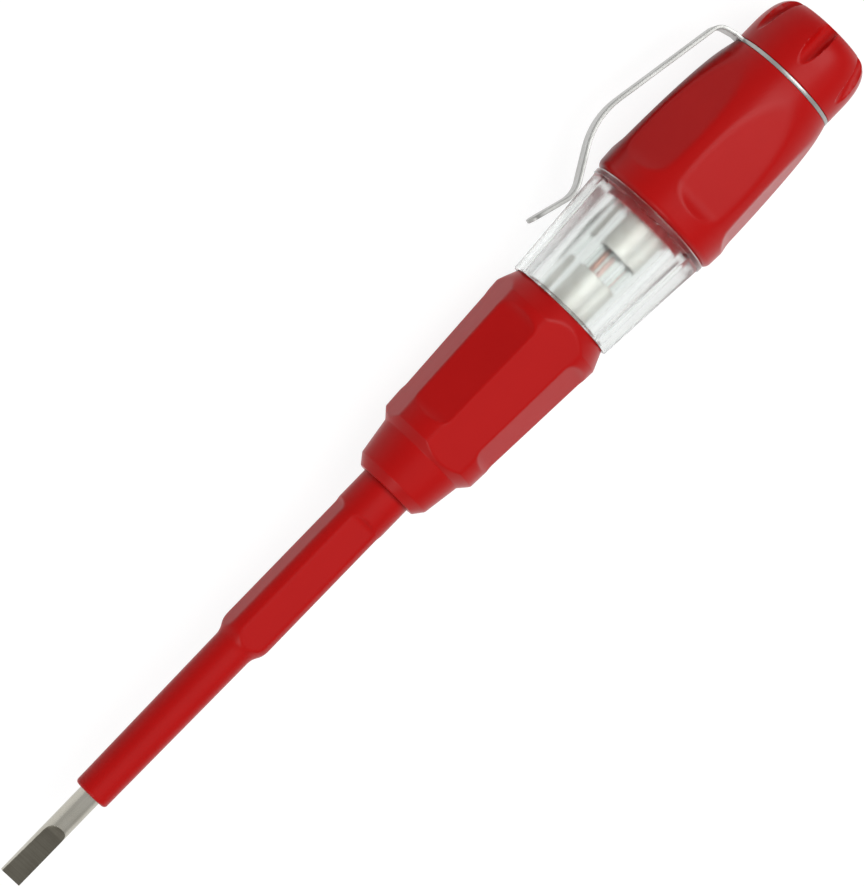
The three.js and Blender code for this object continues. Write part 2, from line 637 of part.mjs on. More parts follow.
// Lamp: a glass tube in two brass caps, with an electrode from each.
function lamp() {
  const caps = {
    diameter: LAMP_CAP_DIAMETER,
    bore: lampCapBore,
    floor: LAMP_CAP_BASE,
  };
  const innerFront = lampFront + LAMP_CAP_BASE + CONTACT_GAP;
  const innerRear = lampRear - LAMP_CAP_BASE - CONTACT_GAP;
  const hollow = rod(lampFront, lampRear, lampGlass - 2 * LAMP_GLASS_WALL, FINE_SEGMENTS);
  const tube = rod(innerFront, innerRear, lampGlass, FINE_SEGMENTS).subtract(hollow);
  const middle = (lampFront + lampRear) / 2;
  const frontElectrode = piece(
    "lamp_front_electrode",
    electrode(innerFront, middle + ELECTRODE_LENGTH / 2),
    COPPER,
  );
  const rearElectrode = piece(
    "lamp_rear_electrode",
    electrode(innerRear, middle - ELECTRODE_LENGTH / 2),
    COPPER,
  );
  frontElectrode.position.y = (ELECTRODE_DIAMETER + ELECTRODE_SPACE) / 2;
  rearElectrode.position.y = -frontElectrode.position.y;
  return new THREE.Group().add(
    piece("lamp_glass", tube, CLEAR_GLASS),
    piece("lamp_front_cap", cup({ base: lampFront, rim: lampFront + LAMP_CAP_LENGTH, ...caps }), BRASS),
    piece("lamp_rear_cap", cup({ base: lampRear, rim: lampRear - LAMP_CAP_LENGTH, ...caps }), BRASS),
    frontElectrode,
    rearElectrode,
  );
}

// Resistor: a rod with a pressed cap on each end.
function resistor() {
  const caps = {
    diameter: RESISTOR_CAP_DIAMETER,
    bore: resistorCapBore,
    floor: RESISTOR_CAP_BASE,
  };
  const inset = RESISTOR_CAP_BASE + CONTACT_GAP;
  const body = rod(resistorFront + inset, resistorRear - inset, resistorRod, FINE_SEGMENTS);
  const frontRim = resistorFront + RESISTOR_CAP_LENGTH;
  const rearRim = resistorRear - RESISTOR_CAP_LENGTH;
  return new THREE.Group().add(
    piece("resistor_body", body, CERAMIC),
    piece("resistor_front_cap", cup({ base: resistorFront, rim: frontRim, ...caps }), BRASS),
    piece("resistor_rear_cap", cup({ base: resistorRear, rim: rearRim, ...caps }), BRASS),
  );
}

// Cup under the spring, pushed along by the stud.
function springCup() {
  return cup({ base: cupRear, rim: cupFront, diameter: cupDiameter, bore: cupBore, floor: CUP_FLOOR });
}

// Assembly: the window, the cap and the clip are turned about the axis to where they stand.
const tester = new THREE.Group();
const turned = (degrees, ...meshes) => {
  const group = new THREE.Group().add(...meshes);
  group.rotation.x = THREE.MathUtils.degToRad(degrees);
  return group;
};
tester.add(
  piece("blade", blade(), NICKEL),
  piece("blade_sleeve", bladeSleeve(), RED_PLASTIC),
  piece("front_handle", frontHandle(), RED_PLASTIC),
  turned(WINDOW_TURN + 180 / WINDOW_FACETS, piece("window_tube", windowTube(), CLEAR_PLASTIC)),
  piece("rear_handle", rearHandle(), RED_PLASTIC),
  turned(CLIP_TURN, piece("clip_ring", clipRing(), SPRING_STEEL), piece("clip_arm", clipArm(), SPRING_STEEL)),
  turned(CAP_TURN, piece("end_cap", endCap(), RED_PLASTIC), piece("contact_stud", contactStud(), BRASS)),
  piece("contact_spring", contactSpring(), SPRING_STEEL),
  piece("spring_cup", springCup(), BRASS),
  lamp(),
  resistor(),
);

export default tester;
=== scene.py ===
import math

import bmesh
import bpy
import numpy as np
from mathutils import Matrix, Vector


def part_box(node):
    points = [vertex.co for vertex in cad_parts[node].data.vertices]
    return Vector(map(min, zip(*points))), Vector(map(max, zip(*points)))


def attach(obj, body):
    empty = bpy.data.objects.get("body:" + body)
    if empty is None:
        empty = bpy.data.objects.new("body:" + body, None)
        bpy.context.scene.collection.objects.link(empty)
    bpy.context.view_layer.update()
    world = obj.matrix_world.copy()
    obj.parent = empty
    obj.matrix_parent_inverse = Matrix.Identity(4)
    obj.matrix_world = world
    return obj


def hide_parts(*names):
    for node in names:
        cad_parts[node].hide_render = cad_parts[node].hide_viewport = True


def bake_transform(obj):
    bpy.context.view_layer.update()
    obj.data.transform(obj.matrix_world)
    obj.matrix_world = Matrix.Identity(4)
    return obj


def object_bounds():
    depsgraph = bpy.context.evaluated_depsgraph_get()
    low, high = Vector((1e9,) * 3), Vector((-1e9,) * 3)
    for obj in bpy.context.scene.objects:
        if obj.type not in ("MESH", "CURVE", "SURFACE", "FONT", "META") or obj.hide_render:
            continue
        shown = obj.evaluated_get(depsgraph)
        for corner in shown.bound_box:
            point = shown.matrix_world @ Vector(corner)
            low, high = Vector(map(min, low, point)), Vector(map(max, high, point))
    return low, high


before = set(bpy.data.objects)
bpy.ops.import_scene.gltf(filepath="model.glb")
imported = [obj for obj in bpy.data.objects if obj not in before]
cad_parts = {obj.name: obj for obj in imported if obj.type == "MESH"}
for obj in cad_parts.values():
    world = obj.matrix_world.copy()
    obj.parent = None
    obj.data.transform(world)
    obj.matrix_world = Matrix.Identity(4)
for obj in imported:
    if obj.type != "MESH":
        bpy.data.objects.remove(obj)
cad_box = [[float(value) for value in corner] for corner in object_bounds()]

# Camera: a long lens looks down on the tool from 635 mm, a little to the clip's side of straight above.
# The tool's axis runs from the lower left to the upper right of the picture.
# One millimetre is the unit that every size below is written in.
MM = 0.001
LEAN_TO_CLIP = math.radians(20.5)
PICTURE_ROLL = math.radians(45.87)
EYE_DISTANCE = 635
EYE_STATION = 40.82
EYE_SHIFT = 0.12
AIM = (-72.48, 0.173, 0.065)
LENS = 214.9
SENSOR_HEIGHT = 36
toward_eye = Vector((0, -math.sin(LEAN_TO_CLIP), math.cos(LEAN_TO_CLIP)))
eye = Vector((-EYE_STATION * MM, 0, 0)) + EYE_DISTANCE * MM * toward_eye
aim = Vector([value * MM for value in AIM])
backward = (eye - aim).normalized()
rearward = Vector((-1, 0, 0))
rearward = (rearward - rearward.dot(backward) * backward).normalized()
clipward = backward.cross(rearward)
eye += EYE_SHIFT * MM * clipward
right = math.cos(PICTURE_ROLL) * rearward - math.sin(PICTURE_ROLL) * clipward
up = math.sin(PICTURE_ROLL) * rearward + math.cos(PICTURE_ROLL) * clipward
camera_data = bpy.data.cameras.new("camera")
camera_data.sensor_fit = "VERTICAL"
camera_data.sensor_height = SENSOR_HEIGHT
camera_data.lens = LENS
camera = bpy.data.objects.new("camera", camera_data)
bpy.context.collection.objects.link(camera)
camera.matrix_world = Matrix.Translation(eye) @ Matrix((right, up, backward)).transposed().to_4x4()
bpy.context.scene.camera = camera
bpy.context.scene.view_settings.view_transform = "Standard"

# Studio: a white bowl of a floor under the tool, two soft lamps, a wide fill lamp and a dim room round it.
# The floor shows white to the camera, to metal and to glass, and still takes the tool's shadow.
# The lamps are set so that a colour comes out about as it is written.
FLOOR_RADIUS = 2600
FLOOR_RISE = 900
FLOOR_FLAT_SHARE = 0.7
FLOOR_STEPS = 12
FLOOR_COLUMNS = 96
FLOOR_MIDDLE = -70
FLOOR_PAINT = (0.8, 0.8, 0.8, 1)
FLOOR_SHADE = (0.16, 0.16, 0.16, 1)
FLOOR_GLOW = 0.9
ROOM_LIGHT = 0.1
ROOM_GLOSS = 0.5
LAMP_AIM = -75


def add_node(tree, kind, **settings):
    node = tree.nodes.new(kind)
    for name, value in settings.items():
        setattr(node, name, value)
    return node


def feed(tree, socket, value):
    if isinstance(value, bpy.types.NodeSocket):
        tree.links.new(value, socket)
    elif value is not None:
        socket.default_value = value


def calc(tree, operation, *values):
    node = add_node(tree, "ShaderNodeMath", operation=operation)
    for socket, value in zip(node.inputs, values):
        feed(tree, socket, value)
    return node.outputs[0]


def floor_mesh(name):
    level = cad_box[0][2]
    rings = [(0.0, 0.0)]
    for step in range(1, FLOOR_STEPS + 1):
        rings.append((FLOOR_RADIUS * FLOOR_FLAT_SHARE * step / FLOOR_STEPS, 0.0))
    for step in range(1, FLOOR_STEPS + 1):
        angle = math.pi / 2 * step / FLOOR_STEPS
        reach = FLOOR_RADIUS * (FLOOR_FLAT_SHARE + (1 - FLOOR_FLAT_SHARE) * math.sin(angle))
        rings.append((reach, FLOOR_RISE * (1 - math.cos(angle))))
    shape = bmesh.new()
    rows = []
    for reach, height in rings:
        row = []
        for column in range(FLOOR_COLUMNS):
            turn = 2 * math.pi * column / FLOOR_COLUMNS
            x = reach * MM * math.cos(turn) + FLOOR_MIDDLE * MM
            row.append(shape.verts.new((x, reach * MM * math.sin(turn), level + height * MM)))
        rows.append(row)
    for inner, outer in zip(rows, rows[1:]):
        for column in range(FLOOR_COLUMNS):
            after = (column + 1) % FLOOR_COLUMNS
            shape.faces.new((inner[column], outer[column], outer[after], inner[after]))
    bmesh.ops.remove_doubles(shape, verts=shape.verts, dist=1e-6)
    mesh = bpy.data.meshes.new(name)
    shape.to_mesh(mesh)
    shape.free()
    mesh.shade_smooth()
    return mesh


floor = bpy.data.objects.new("studio_floor", floor_mesh("studio_floor"))
bpy.context.collection.objects.link(floor)
floor_paint = bpy.data.materials.new("white_studio_floor")
floor_paint.use_nodes = True
tree = floor_paint.node_tree
tree.nodes.clear()
path = add_node(tree, "ShaderNodeLightPath")
seen = calc(tree, "ADD", path.outputs["Is Camera Ray"], path.outputs["Is Glossy Ray"])
seen = calc(tree, "ADD", seen, path.outputs["Is Transmission Ray"])
seen = calc(tree, "MINIMUM", seen, 1.0)
plain = add_node(tree, "ShaderNodeBsdfDiffuse")
plain.inputs["Color"].default_value = FLOOR_PAINT
shadowed = add_node(tree, "ShaderNodeBsdfDiffuse")
shadowed.inputs["Color"].default_value = FLOOR_SHADE
white = add_node(tree, "ShaderNodeEmission")
white.inputs["Strength"].default_value = FLOOR_GLOW
bright = add_node(tree, "ShaderNodeAddShader")
tree.links.new(shadowed.outputs[0], bright.inputs[0])
tree.links.new(white.outputs[0], bright.inputs[1])
choice = add_node(tree, "ShaderNodeMixShader")
feed(tree, choice.inputs[0], seen)
tree.links.new(plain.outputs[0], choice.inputs[1])
tree.links.new(bright.outputs[0], choice.inputs[2])
finish = add_node(tree, "ShaderNodeOutputMaterial")
tree.links.new(choice.outputs[0], finish.inputs[0])
floor.data.materials.append(floor_paint)

room = bpy.data.worlds.new("dim_room")
room.use_nodes = True
tree = room.node_tree
path = add_node(tree, "ShaderNodeLightPath")
reflected = calc(tree, "ADD", path.outputs["Is Glossy Ray"], path.outputs["Is Transmission Ray"])
reflected = calc(tree, "MINIMUM", reflected, 1.0)
level = calc(tree, "MULTIPLY_ADD", reflected, ROOM_GLOSS, ROOM_LIGHT)
level = calc(tree, "MAXIMUM", level, path.outputs["Is Camera Ray"])
tree.nodes["Background"].inputs["Color"].default_value = (1, 1, 1, 1)
feed(tree, tree.nodes["Background"].inputs["Strength"], level)
bpy.context.scene.world = room


def soft_lamp(name, place, width, length, watts, mirrored=True):
    lamp_data = bpy.data.lights.new(name, "AREA")
    lamp_data.shape = "RECTANGLE"
    lamp_data.size = length * MM
    lamp_data.size_y = width * MM
    lamp_data.energy = watts
    lamp = bpy.data.objects.new(name, lamp_data)
    bpy.context.collection.objects.link(lamp)
    spot = Vector(place) * MM
    down = (spot - Vector((LAMP_AIM * MM, 0, 0))).normalized()
    across = down.cross(Vector((1, 0, 0))).normalized()
    along = across.cross(down)
    lamp.matrix_world = Matrix.Translation(spot) @ Matrix((along, across, down)).transposed().to_4x4()
    lamp.visible_glossy = mirrored


soft_lamp("overhead_lamp", (-390, 0, 620), 510, 360, 2.2)
soft_lamp("front_lamp", (520, -60, 330), 260, 260, 1.1)
soft_lamp("fill_lamp", (-75, 250, 1300), 1700, 1700, 11.5, mirrored=False)

# Blade: a drawn steel rod, nickel-plated, whose tip is ground to a wedge on two sides.
# Near its hidden end two wings are pressed out of the rod, and they key it in the front handle.
# The ground faces are left bare and go dark, with grinding lines across them.
BLADE_RADIUS = 1.5
BLADE_FINE_LENGTH = 16
TIP_HALF = 0.35
WEDGE_LENGTH = 6.8
WEDGE_HALF = 0.6
WEDGE_RUN_OUT = 2
WING_HALF_WIDTH = 2.3
WING_HALF_THICKNESS = 0.8
WING_LENGTH = 4
BLADE_TAIL = 1
BLADE_COLOUR = (0.56, 0.54, 0.48, 1)
DULL_BLADE = (0.42, 0.4, 0.34, 1)
GROUND_COLOUR = (0.17, 0.16, 0.13, 1)
DULL_GROUND = (0.11, 0.1, 0.08, 1)


def stations(node):
    low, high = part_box(node)
    return -high[0] / MM, -low[0] / MM


def outline(corners, step):
    """Points along a turned outline. A corner is a station, a radius and the rounding of that corner."""
    points = []
    last = len(corners) - 1
    for i, corner in enumerate(corners):
        here = np.array(corner[:2], float)
        rounding = corner[2] if len(corner) > 2 else 0
        if not rounding or i in (0, last):
            points.append(here)
            continue
        before = np.array(corners[i - 1][:2], float) - here
        after = np.array(corners[i + 1][:2], float) - here
        before /= np.linalg.norm(before)
        after /= np.linalg.norm(after)
        half = math.acos(np.clip(before @ after, -1, 1)) / 2
        middle = (before + after) / np.linalg.norm(before + after)
        centre = here + middle * rounding / math.sin(half)
        first = here + before * rounding / math.tan(half) - centre
        final = here + after * rounding / math.tan(half) - centre
        for share in np.linspace(0, 1, 9):
            turn = first * (1 - share) + final * share
            points.append(centre + turn / np.linalg.norm(turn) * rounding)
    filled = [points[0]]
    for before, after in zip(points, points[1:]):
        count = max(1, math.ceil(np.linalg.norm(after - before) / step))
        for k in range(1, count + 1):
            filled.append(before + (after - before) * k / count)
    return np.array(filled)


def curve_points(count, *corners):
    """Points along a smooth curve from the first corner to the last, pulled towards those between."""
    share = np.linspace(0, 1, count)[:, None]
    points = [np.array(corner, float) for corner in corners]
    while len(points) > 1:
        points = [before * (1 - share) + after * share for before, after in zip(points, points[1:])]
    return points[0]


def turned_blank(name, profile, columns, closed=False, middle=(0, 0), widen=None):
    """A mesh turned about the tool's axis, with its angles counted from the top towards the clip."""
    stations_along, radii = profile.T
    angle = np.arange(columns) * (2 * math.pi / columns)
    reach = np.broadcast_to(radii[:, None], (len(radii), columns))
    if widen:
        reach = widen(stations_along[:, None], reach, angle[None, :])
    x = np.broadcast_to(-stations_along[:, None], reach.shape)
    y = middle[0] - reach * np.sin(angle)
    z = middle[1] + reach * np.cos(angle)
    points = np.stack([x, y, z], -1).reshape(-1, 3) * MM
    rows = len(radii)
    first = np.arange(rows if closed else rows - 1)
    second = (first + 1) % rows
    column = np.arange(columns)
    after = (column + 1) % columns
    grid = np.stack(
        [
            first[:, None] * columns + column,
            second[:, None] * columns + column,
            second[:, None] * columns + after,
            first[:, None] * columns + after,
        ],
        -1,
    )
    mesh = bpy.data.meshes.new(name)
    mesh.from_pydata(points.tolist(), [], grid.reshape(-1, 4).tolist())
    return mesh


def tidy_mesh(mesh, sharp_angle):
    shape = bmesh.new()
    shape.from_mesh(mesh)
    bmesh.ops.remove_doubles(shape, verts=shape.verts, dist=2e-6)
    bmesh.ops.dissolve_degenerate(shape, dist=2e-6, edges=shape.edges)
    shape.to_mesh(mesh)
    shape.free()
    mesh.shade_smooth()
    mesh.set_sharp_from_angle(angle=math.radians(sharp_angle))


def add_piece(name, mesh, material):
    piece = bpy.data.objects.new(name, mesh)
    bpy.context.collection.objects.link(piece)
    mesh.materials.clear()
    mesh.materials.append(material)
    return piece


def stand_for(piece, node, body):
    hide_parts(node)
    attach(piece, body)


def new_tree(name, numbers):
    """A Geometry Nodes tree with a named input for each size and one for the material."""
    tree = bpy.data.node_groups.new(name, "GeometryNodeTree")
    tree.interface.new_socket("Geometry", in_out="OUTPUT", socket_type="NodeSocketGeometry")
    tree.interface.new_socket("Geometry", in_out="INPUT", socket_type="NodeSocketGeometry")
    for label in numbers:
        tree.interface.new_socket(label, in_out="INPUT", socket_type="NodeSocketFloat")
    tree.interface.new_socket("Material", in_out="INPUT", socket_type="NodeSocketMaterial")
    return tree, add_node(tree, "NodeGroupInput").outputs


def end_tree(tree, geometry, material):
    real = add_node(tree, "GeometryNodeRealizeInstances")
    painted = add_node(tree, "GeometryNodeSetMaterial")
    out = add_node(tree, "NodeGroupOutput")
    tree.links.new(geometry, real.inputs[0])
    tree.links.new(real.outputs[0], painted.inputs["Geometry"])
    tree.links.new(material, painted.inputs["Material"])
    tree.links.new(painted.outputs[0], out.inputs[0])


def run_tree(piece, tree, values, sharp_angle):
    modifier = piece.modifiers.new(tree.name, "NODES")
    modifier.node_group = tree
    for item in tree.interface.items_tree:
        if item.in_out == "INPUT" and item.name in values:
            modifier[item.identifier] = float(values[item.name])
        elif item.name == "Material":
            modifier[item.identifier] = piece.data.materials[0]
    graph = bpy.context.evaluated_depsgraph_get()
    result = bpy.data.meshes.new_from_object(piece.evaluated_get(graph))
    piece.modifiers.clear()
    piece.data = result
    tidy_mesh(result, sharp_angle)


def round_place(tree):
    """Where a point of a turned piece lies: its coordinates, and its station, radius and angle."""
    place = add_node(tree, "GeometryNodeInputPosition")
    split = add_node(tree, "ShaderNodeSeparateXYZ")
    tree.links.new(place.outputs[0], split.inputs[0])
    x, y, z = split.outputs
    station = calc(tree, "MULTIPLY", x, -1 / MM)
    squares = calc(tree, "ADD", calc(tree, "MULTIPLY", y, y), calc(tree, "MULTIPLY", z, z))
    radius = calc(tree, "MULTIPLY", calc(tree, "SQRT", squares), 1 / MM)
    angle = calc(tree, "ARCTAN2", calc(tree, "MULTIPLY", y, -1.0), z)
    return (x, y, z), station, radius, angle


def nearest_share(tree, given, angle):
    """The angle from the middle of the nearest of several equal shares round the axis."""
    half_share = calc(tree, "DIVIDE", math.pi, given["Count"])
    offset = calc(tree, "SUBTRACT", angle, given["Turn"])
    return calc(tree, "WRAP", offset, half_share, calc(tree, "MULTIPLY", half_share, -1.0))


def move_to_radius(tree, geometry, place, radius, cut):
    """Moves each point of a turned piece straight in to a smaller radius."""
    x, y, z = place
    scale = calc(tree, "DIVIDE", cut, calc(tree, "MAXIMUM", radius, 1e-6))
    join = add_node(tree, "ShaderNodeCombineXYZ")
    feed(tree, join.inputs[0], x)
    feed(tree, join.inputs[1], calc(tree, "MULTIPLY", y, scale))
    feed(tree, join.inputs[2], calc(tree, "MULTIPLY", z, scale))
    move = add_node(tree, "GeometryNodeSetPosition")
    tree.links.new(geometry, move.inputs["Geometry"])
    tree.links.new(join.outputs[0], move.inputs["Position"])
    return move.outputs[0]


def flats_tree():
    """Cuts equal flats round a turned piece. An end with a run-out curves up out of the surface."""
    numbers = ["Front Station", "Front Height", "Rear Station", "Rear Height"]
    numbers += ["Front Run-out", "Rear Run-out", "Edge Rounding", "Turn", "Count"]
    tree, given = new_tree("milled_flats", numbers)
    place, station, radius, angle = round_place(tree)
    offset = nearest_share(tree, given, angle)
    rise = calc(tree, "SUBTRACT", given["Rear Height"], given["Front Height"])
    run = calc(tree, "SUBTRACT", given["Rear Station"], given["Front Station"])
    slope = calc(tree, "DIVIDE", rise, run)
    lean = calc(tree, "ARCTANGENT", slope)
    along = calc(tree, "SUBTRACT", station, given["Front Station"])
    height = calc(tree, "MULTIPLY_ADD", along, slope, given["Front Height"])
    for end, sign in (("Front", -1.0), ("Rear", 1.0)):
        cutter = given[end + " Run-out"]
        past = calc(tree, "SUBTRACT", station, given[end + " Station"])
        used = calc(tree, "GREATER_THAN", cutter, 0.0)
        beyond = calc(tree, "GREATER_THAN", calc(tree, "MULTIPLY", past, sign), 0.0)
        beyond = calc(tree, "MULTIPLY", beyond, used)
        away = calc(tree, "MULTIPLY_ADD", cutter, calc(tree, "SINE", lean), past)
        left = calc(tree, "MULTIPLY", cutter, cutter)
        left = calc(tree, "SUBTRACT", left, calc(tree, "MULTIPLY", away, away))
        clear = calc(tree, "LESS_THAN", left, 0.0)
        arc = calc(tree, "MULTIPLY", cutter, calc(tree, "COSINE", lean))
        arc = calc(tree, "SUBTRACT", arc, calc(tree, "SQRT", calc(tree, "MAXIMUM", left, 0.0)))
        arc = calc(tree, "ADD", arc, given[end + " Height"])
        arc = calc(tree, "MULTIPLY_ADD", clear, 100.0, arc)
        change = calc(tree, "SUBTRACT", arc, height)
        height = calc(tree, "MULTIPLY_ADD", change, beyond, height)
    flat = calc(tree, "DIVIDE", height, calc(tree, "MAXIMUM", calc(tree, "COSINE", offset), 0.02))
    cut = calc(tree, "SMOOTH_MIN", radius, flat, given["Edge Rounding"])
    mark = add_node(tree, "GeometryNodeStoreNamedAttribute", data_type="FLOAT", domain="POINT")
    mark.inputs["Name"].default_value = "milled"
    depth = calc(tree, "SUBTRACT", radius, flat)
    feed(tree, mark.inputs["Value"], calc(tree, "MINIMUM", calc(tree, "MAXIMUM", depth, 0.0), 1.0))
    tree.links.new(given["Geometry"], mark.inputs["Geometry"])
    milled = move_to_radius(tree, mark.outputs[0], place, radius, cut)
    end_tree(tree, milled, given["Material"])
    return tree


def mill_flats(piece, count, turn, front, rear, run_outs, rounding, sharp_angle):
    """Runs the tree of flats. Front and rear are each a station and a height over the axis."""
    sizes = {"Front Station": front[0], "Front Height": front[1]}
    sizes |= {"Rear Station": rear[0], "Rear Height": rear[1]}
    sizes |= {"Front Run-out": run_outs[0], "Rear Run-out": run_outs[1]}
    sizes |= {"Edge Rounding": rounding, "Turn": turn, "Count": count}
    run_tree(piece, milled_flats, sizes, sharp_angle)


def surface_group(name, inputs):
    """A shader node group that puts out a colour, a roughness and a height for a bump."""
    group = bpy.data.node_groups.new(name, "ShaderNodeTree")
    for label, kind in inputs:
        group.interface.new_socket(label, in_out="INPUT", socket_type="NodeSocket" + kind)
    for label, kind in (("Colour", "Color"), ("Roughness", "Float"), ("Height", "Float")):
        group.interface.new_socket(label, in_out="OUTPUT", socket_type="NodeSocket" + kind)
    return group, add_node(group, "NodeGroupInput").outputs, add_node(group, "NodeGroupOutput").inputs


def noise(tree, scale, detail, stretch=None):
    where = add_node(tree, "ShaderNodeTexCoord").outputs["Object"]
    if stretch is not None:
        mapping = add_node(tree, "ShaderNodeMapping")
        tree.links.new(where, mapping.inputs["Vector"])
        feed(tree, mapping.inputs["Scale"], stretch)
        where = mapping.outputs[0]
    grain = add_node(tree, "ShaderNodeTexNoise")
    tree.links.new(where, grain.inputs["Vector"])
    feed(tree, grain.inputs["Scale"], scale)
    grain.inputs["Detail"].default_value = detail
    return grain.outputs["Fac"]


def blend_colour(tree, share, low, high):
    mix = add_node(tree, "ShaderNodeMix", data_type="RGBA")
    feed(tree, mix.inputs[0], share)
    feed(tree, mix.inputs[6], low)
    feed(tree, mix.inputs[7], high)
    return mix.outputs[2]


def between(tree, share, low, high):
    ramp = add_node(tree, "ShaderNodeMapRange")
    ramp.inputs["From Min"].default_value = 0.3
    ramp.inputs["From Max"].default_value = 0.7
    feed(tree, ramp.inputs["Value"], share)
    feed(tree, ramp.inputs["To Min"], low)
    feed(tree, ramp.inputs["To Max"], high)
    return ramp.outputs[0]


def drawn_metal_group():
    """Fine lines left by drawing or rolling, with duller and brighter patches."""
    inputs = [("Bright Colour", "Color"), ("Dull Colour", "Color"), ("Line Stretch", "Vector")]
    inputs += [("Smooth", "Float"), ("Rough", "Float")]
    tree, given, out = surface_group("drawn_metal", inputs)
    lines = noise(tree, 1.0, 3.0, given["Line Stretch"])
    patches = noise(tree, 350.0, 2.0)
    share = calc(tree, "MULTIPLY_ADD", patches, 0.5, calc(tree, "MULTIPLY", lines, 0.5))
    shade = between(tree, share, 0.0, 1.0)
    feed(tree, out["Colour"], blend_colour(tree, shade, given["Bright Colour"], given["Dull Colour"]))
    feed(tree, out["Roughness"], between(tree, share, given["Smooth"], given["Rough"]))
    feed(tree, out["Height"], lines)
    return tree


def group_node(tree, group, *values):
    node = add_node(tree, "ShaderNodeGroup")
    node.node_tree = group
    for socket, value in zip(node.inputs, values):
        feed(tree, socket, value)
    return node.outputs


def new_material(name):
    material = bpy.data.materials.new(name)
    material.use_nodes = True
    return material, material.node_tree, material.node_tree.nodes["Principled BSDF"]


def add_bump(tree, shader, height, depth):
    bump = add_node(tree, "ShaderNodeBump")
    bump.inputs["Strength"].default_value = 0.6
    bump.inputs["Distance"].default_value = depth * MM
    feed(tree, bump.inputs["Height"], height)
    tree.links.new(bump.outputs[0], shader.inputs["Normal"])


def surface_material(name, group, values, depth, **shader_values):
    """A material whose colour, roughness and bump come from a surface group with the given values."""
    material, tree, shader = new_material(name)
    surface = group_node(tree, group, *values)
    feed(tree, shader.inputs["Base Color"], surface["Colour"])
    feed(tree, shader.inputs["Roughness"], surface["Roughness"])
    for label, value in shader_values.items():
        shader.inputs[label.replace("_", " ")].default_value = value
    add_bump(tree, shader, surface["Height"], depth)
    return material


def metal(name, bright, dull, stretch, smooth, rough, depth):
    return surface_material(name, drawn_metal, (bright, dull, stretch, smooth, rough), depth, Metallic=1.0)


def blade_material():
    material, tree, shader = new_material("plated_blade_steel")
    plate = group_node(tree, drawn_metal, BLADE_COLOUR, DULL_BLADE, (60, 2600, 2600), 0.2, 0.34)
    ground = group_node(tree, drawn_metal, GROUND_COLOUR, DULL_GROUND, (4200, 90, 90), 0.42, 0.58)
    mask = add_node(tree, "ShaderNodeAttribute", attribute_name="milled")
    share = calc(tree, "MINIMUM", calc(tree, "MULTIPLY", mask.outputs["Fac"], 60.0), 1.0)
    colour = blend_colour(tree, share, plate["Colour"], ground["Colour"])
    feed(tree, shader.inputs["Base Color"], colour)
    change = calc(tree, "SUBTRACT", ground["Roughness"], plate["Roughness"])
    feed(tree, shader.inputs["Roughness"], calc(tree, "MULTIPLY_ADD", change, share, plate["Roughness"]))
    shader.inputs["Metallic"].default_value = 1.0
    change = calc(tree, "SUBTRACT", ground["Height"], plate["Height"])
    add_bump(tree, shader, calc(tree, "MULTIPLY_ADD", change, share, plate["Height"]), 0.02)
    return material


def wing_widening(station, reach, angle):
    box = np.minimum(
        WING_HALF_WIDTH / np.maximum(np.abs(np.sin(angle)), 1e-6),
        WING_HALF_THICKNESS / np.maximum(np.abs(np.cos(angle)), 1e-6),
    )
    inside = (station > wing_front) & (station < wing_rear) & (reach > BLADE_RADIUS - 0.01)
    return np.where(inside, np.maximum(reach, box), reach)


milled_flats = flats_tree()
drawn_metal = drawn_metal_group()
blade_end = stations("blade")[1]
wing_rear = blade_end - BLADE_TAIL
wing_front = wing_rear - WING_LENGTH
blade_profile = np.vstack(
    [
        outline([(0, 0), (0, BLADE_RADIUS, 0.06), (BLADE_FINE_LENGTH, BLADE_RADIUS)], 0.1),
        outline(
            [
                (BLADE_FINE_LENGTH + 2, BLADE_RADIUS),
                (blade_end, BLADE_RADIUS, 0.2),
                (blade_end, 0),
            ],
            0.5,
        ),
    ]
)
blade = add_piece(
    "screwdriver_blade",
    turned_blank("screwdriver_blade", blade_profile, 192, widen=wing_widening),
    blade_material(),
)
mill_flats(
    blade,
    count=2,
    turn=0,
    front=(0, TIP_HALF),
    rear=(WEDGE_LENGTH, WEDGE_HALF),
    run_outs=(0, WEDGE_RUN_OUT),
    rounding=0.06,
    sharp_angle=35,
)
stand_for(blade, "blade", "handle")

# Sleeve: red insulating plastic, moulded on to the blade and pushed into the front handle's nose.
# The front half is thin and round, and the rear half is thicker, with four flats.
# Its surface is smooth from the mould, with faint flow marks and fine rub marks.
FIT_GAP = 0.1
SLEEVE_TIP_RADIUS = 2.4
SLEEVE_THIN_RADIUS = 2.6
SLEEVE_GRIP_RADIUS = 3.5
SLEEVE_BORE = BLADE_RADIUS + FIT_GAP
SLEEVE_THIN_LENGTH = 24.2
SLEEVE_FLARE_LENGTH = 3
SLEEVE_FLAT_HEIGHT = 2.975
SLEEVE_ROUND_LENGTH = 5.4
SLEEVE_INSERT = 5
SLEEVE_RUN_OUT = 1.2
RED = (0.46, 0.005, 0.0045, 1)
DEEP_RED = (0.44, 0.0045, 0.004, 1)
RED_GLOSS = 0.14


def moulded_plastic_group():
    """Faint colour flow, dull and shiny patches, and a fine skin from the mould."""
    inputs = [("Main Colour", "Color"), ("Deep Colour", "Color"), ("Smooth", "Float"), ("Rough", "Float")]
    tree, given, out = surface_group("moulded_plastic", inputs)
    flow = noise(tree, 1.0, 2.0, (120, 170, 170))
    skin = noise(tree, 2600.0, 2.0)
    rub = noise(tree, 1.0, 3.0, (900, 1500, 1500))
    tone = between(tree, flow, 0.0, 1.0)
    feed(tree, out["Colour"], blend_colour(tree, tone, given["Main Colour"], given["Deep Colour"]))
    share = calc(tree, "MULTIPLY_ADD", flow, 0.5, calc(tree, "MULTIPLY", rub, 0.5))
    feed(tree, out["Roughness"], between(tree, share, given["Smooth"], given["Rough"]))
    feed(tree, out["Height"], skin)
    return tree


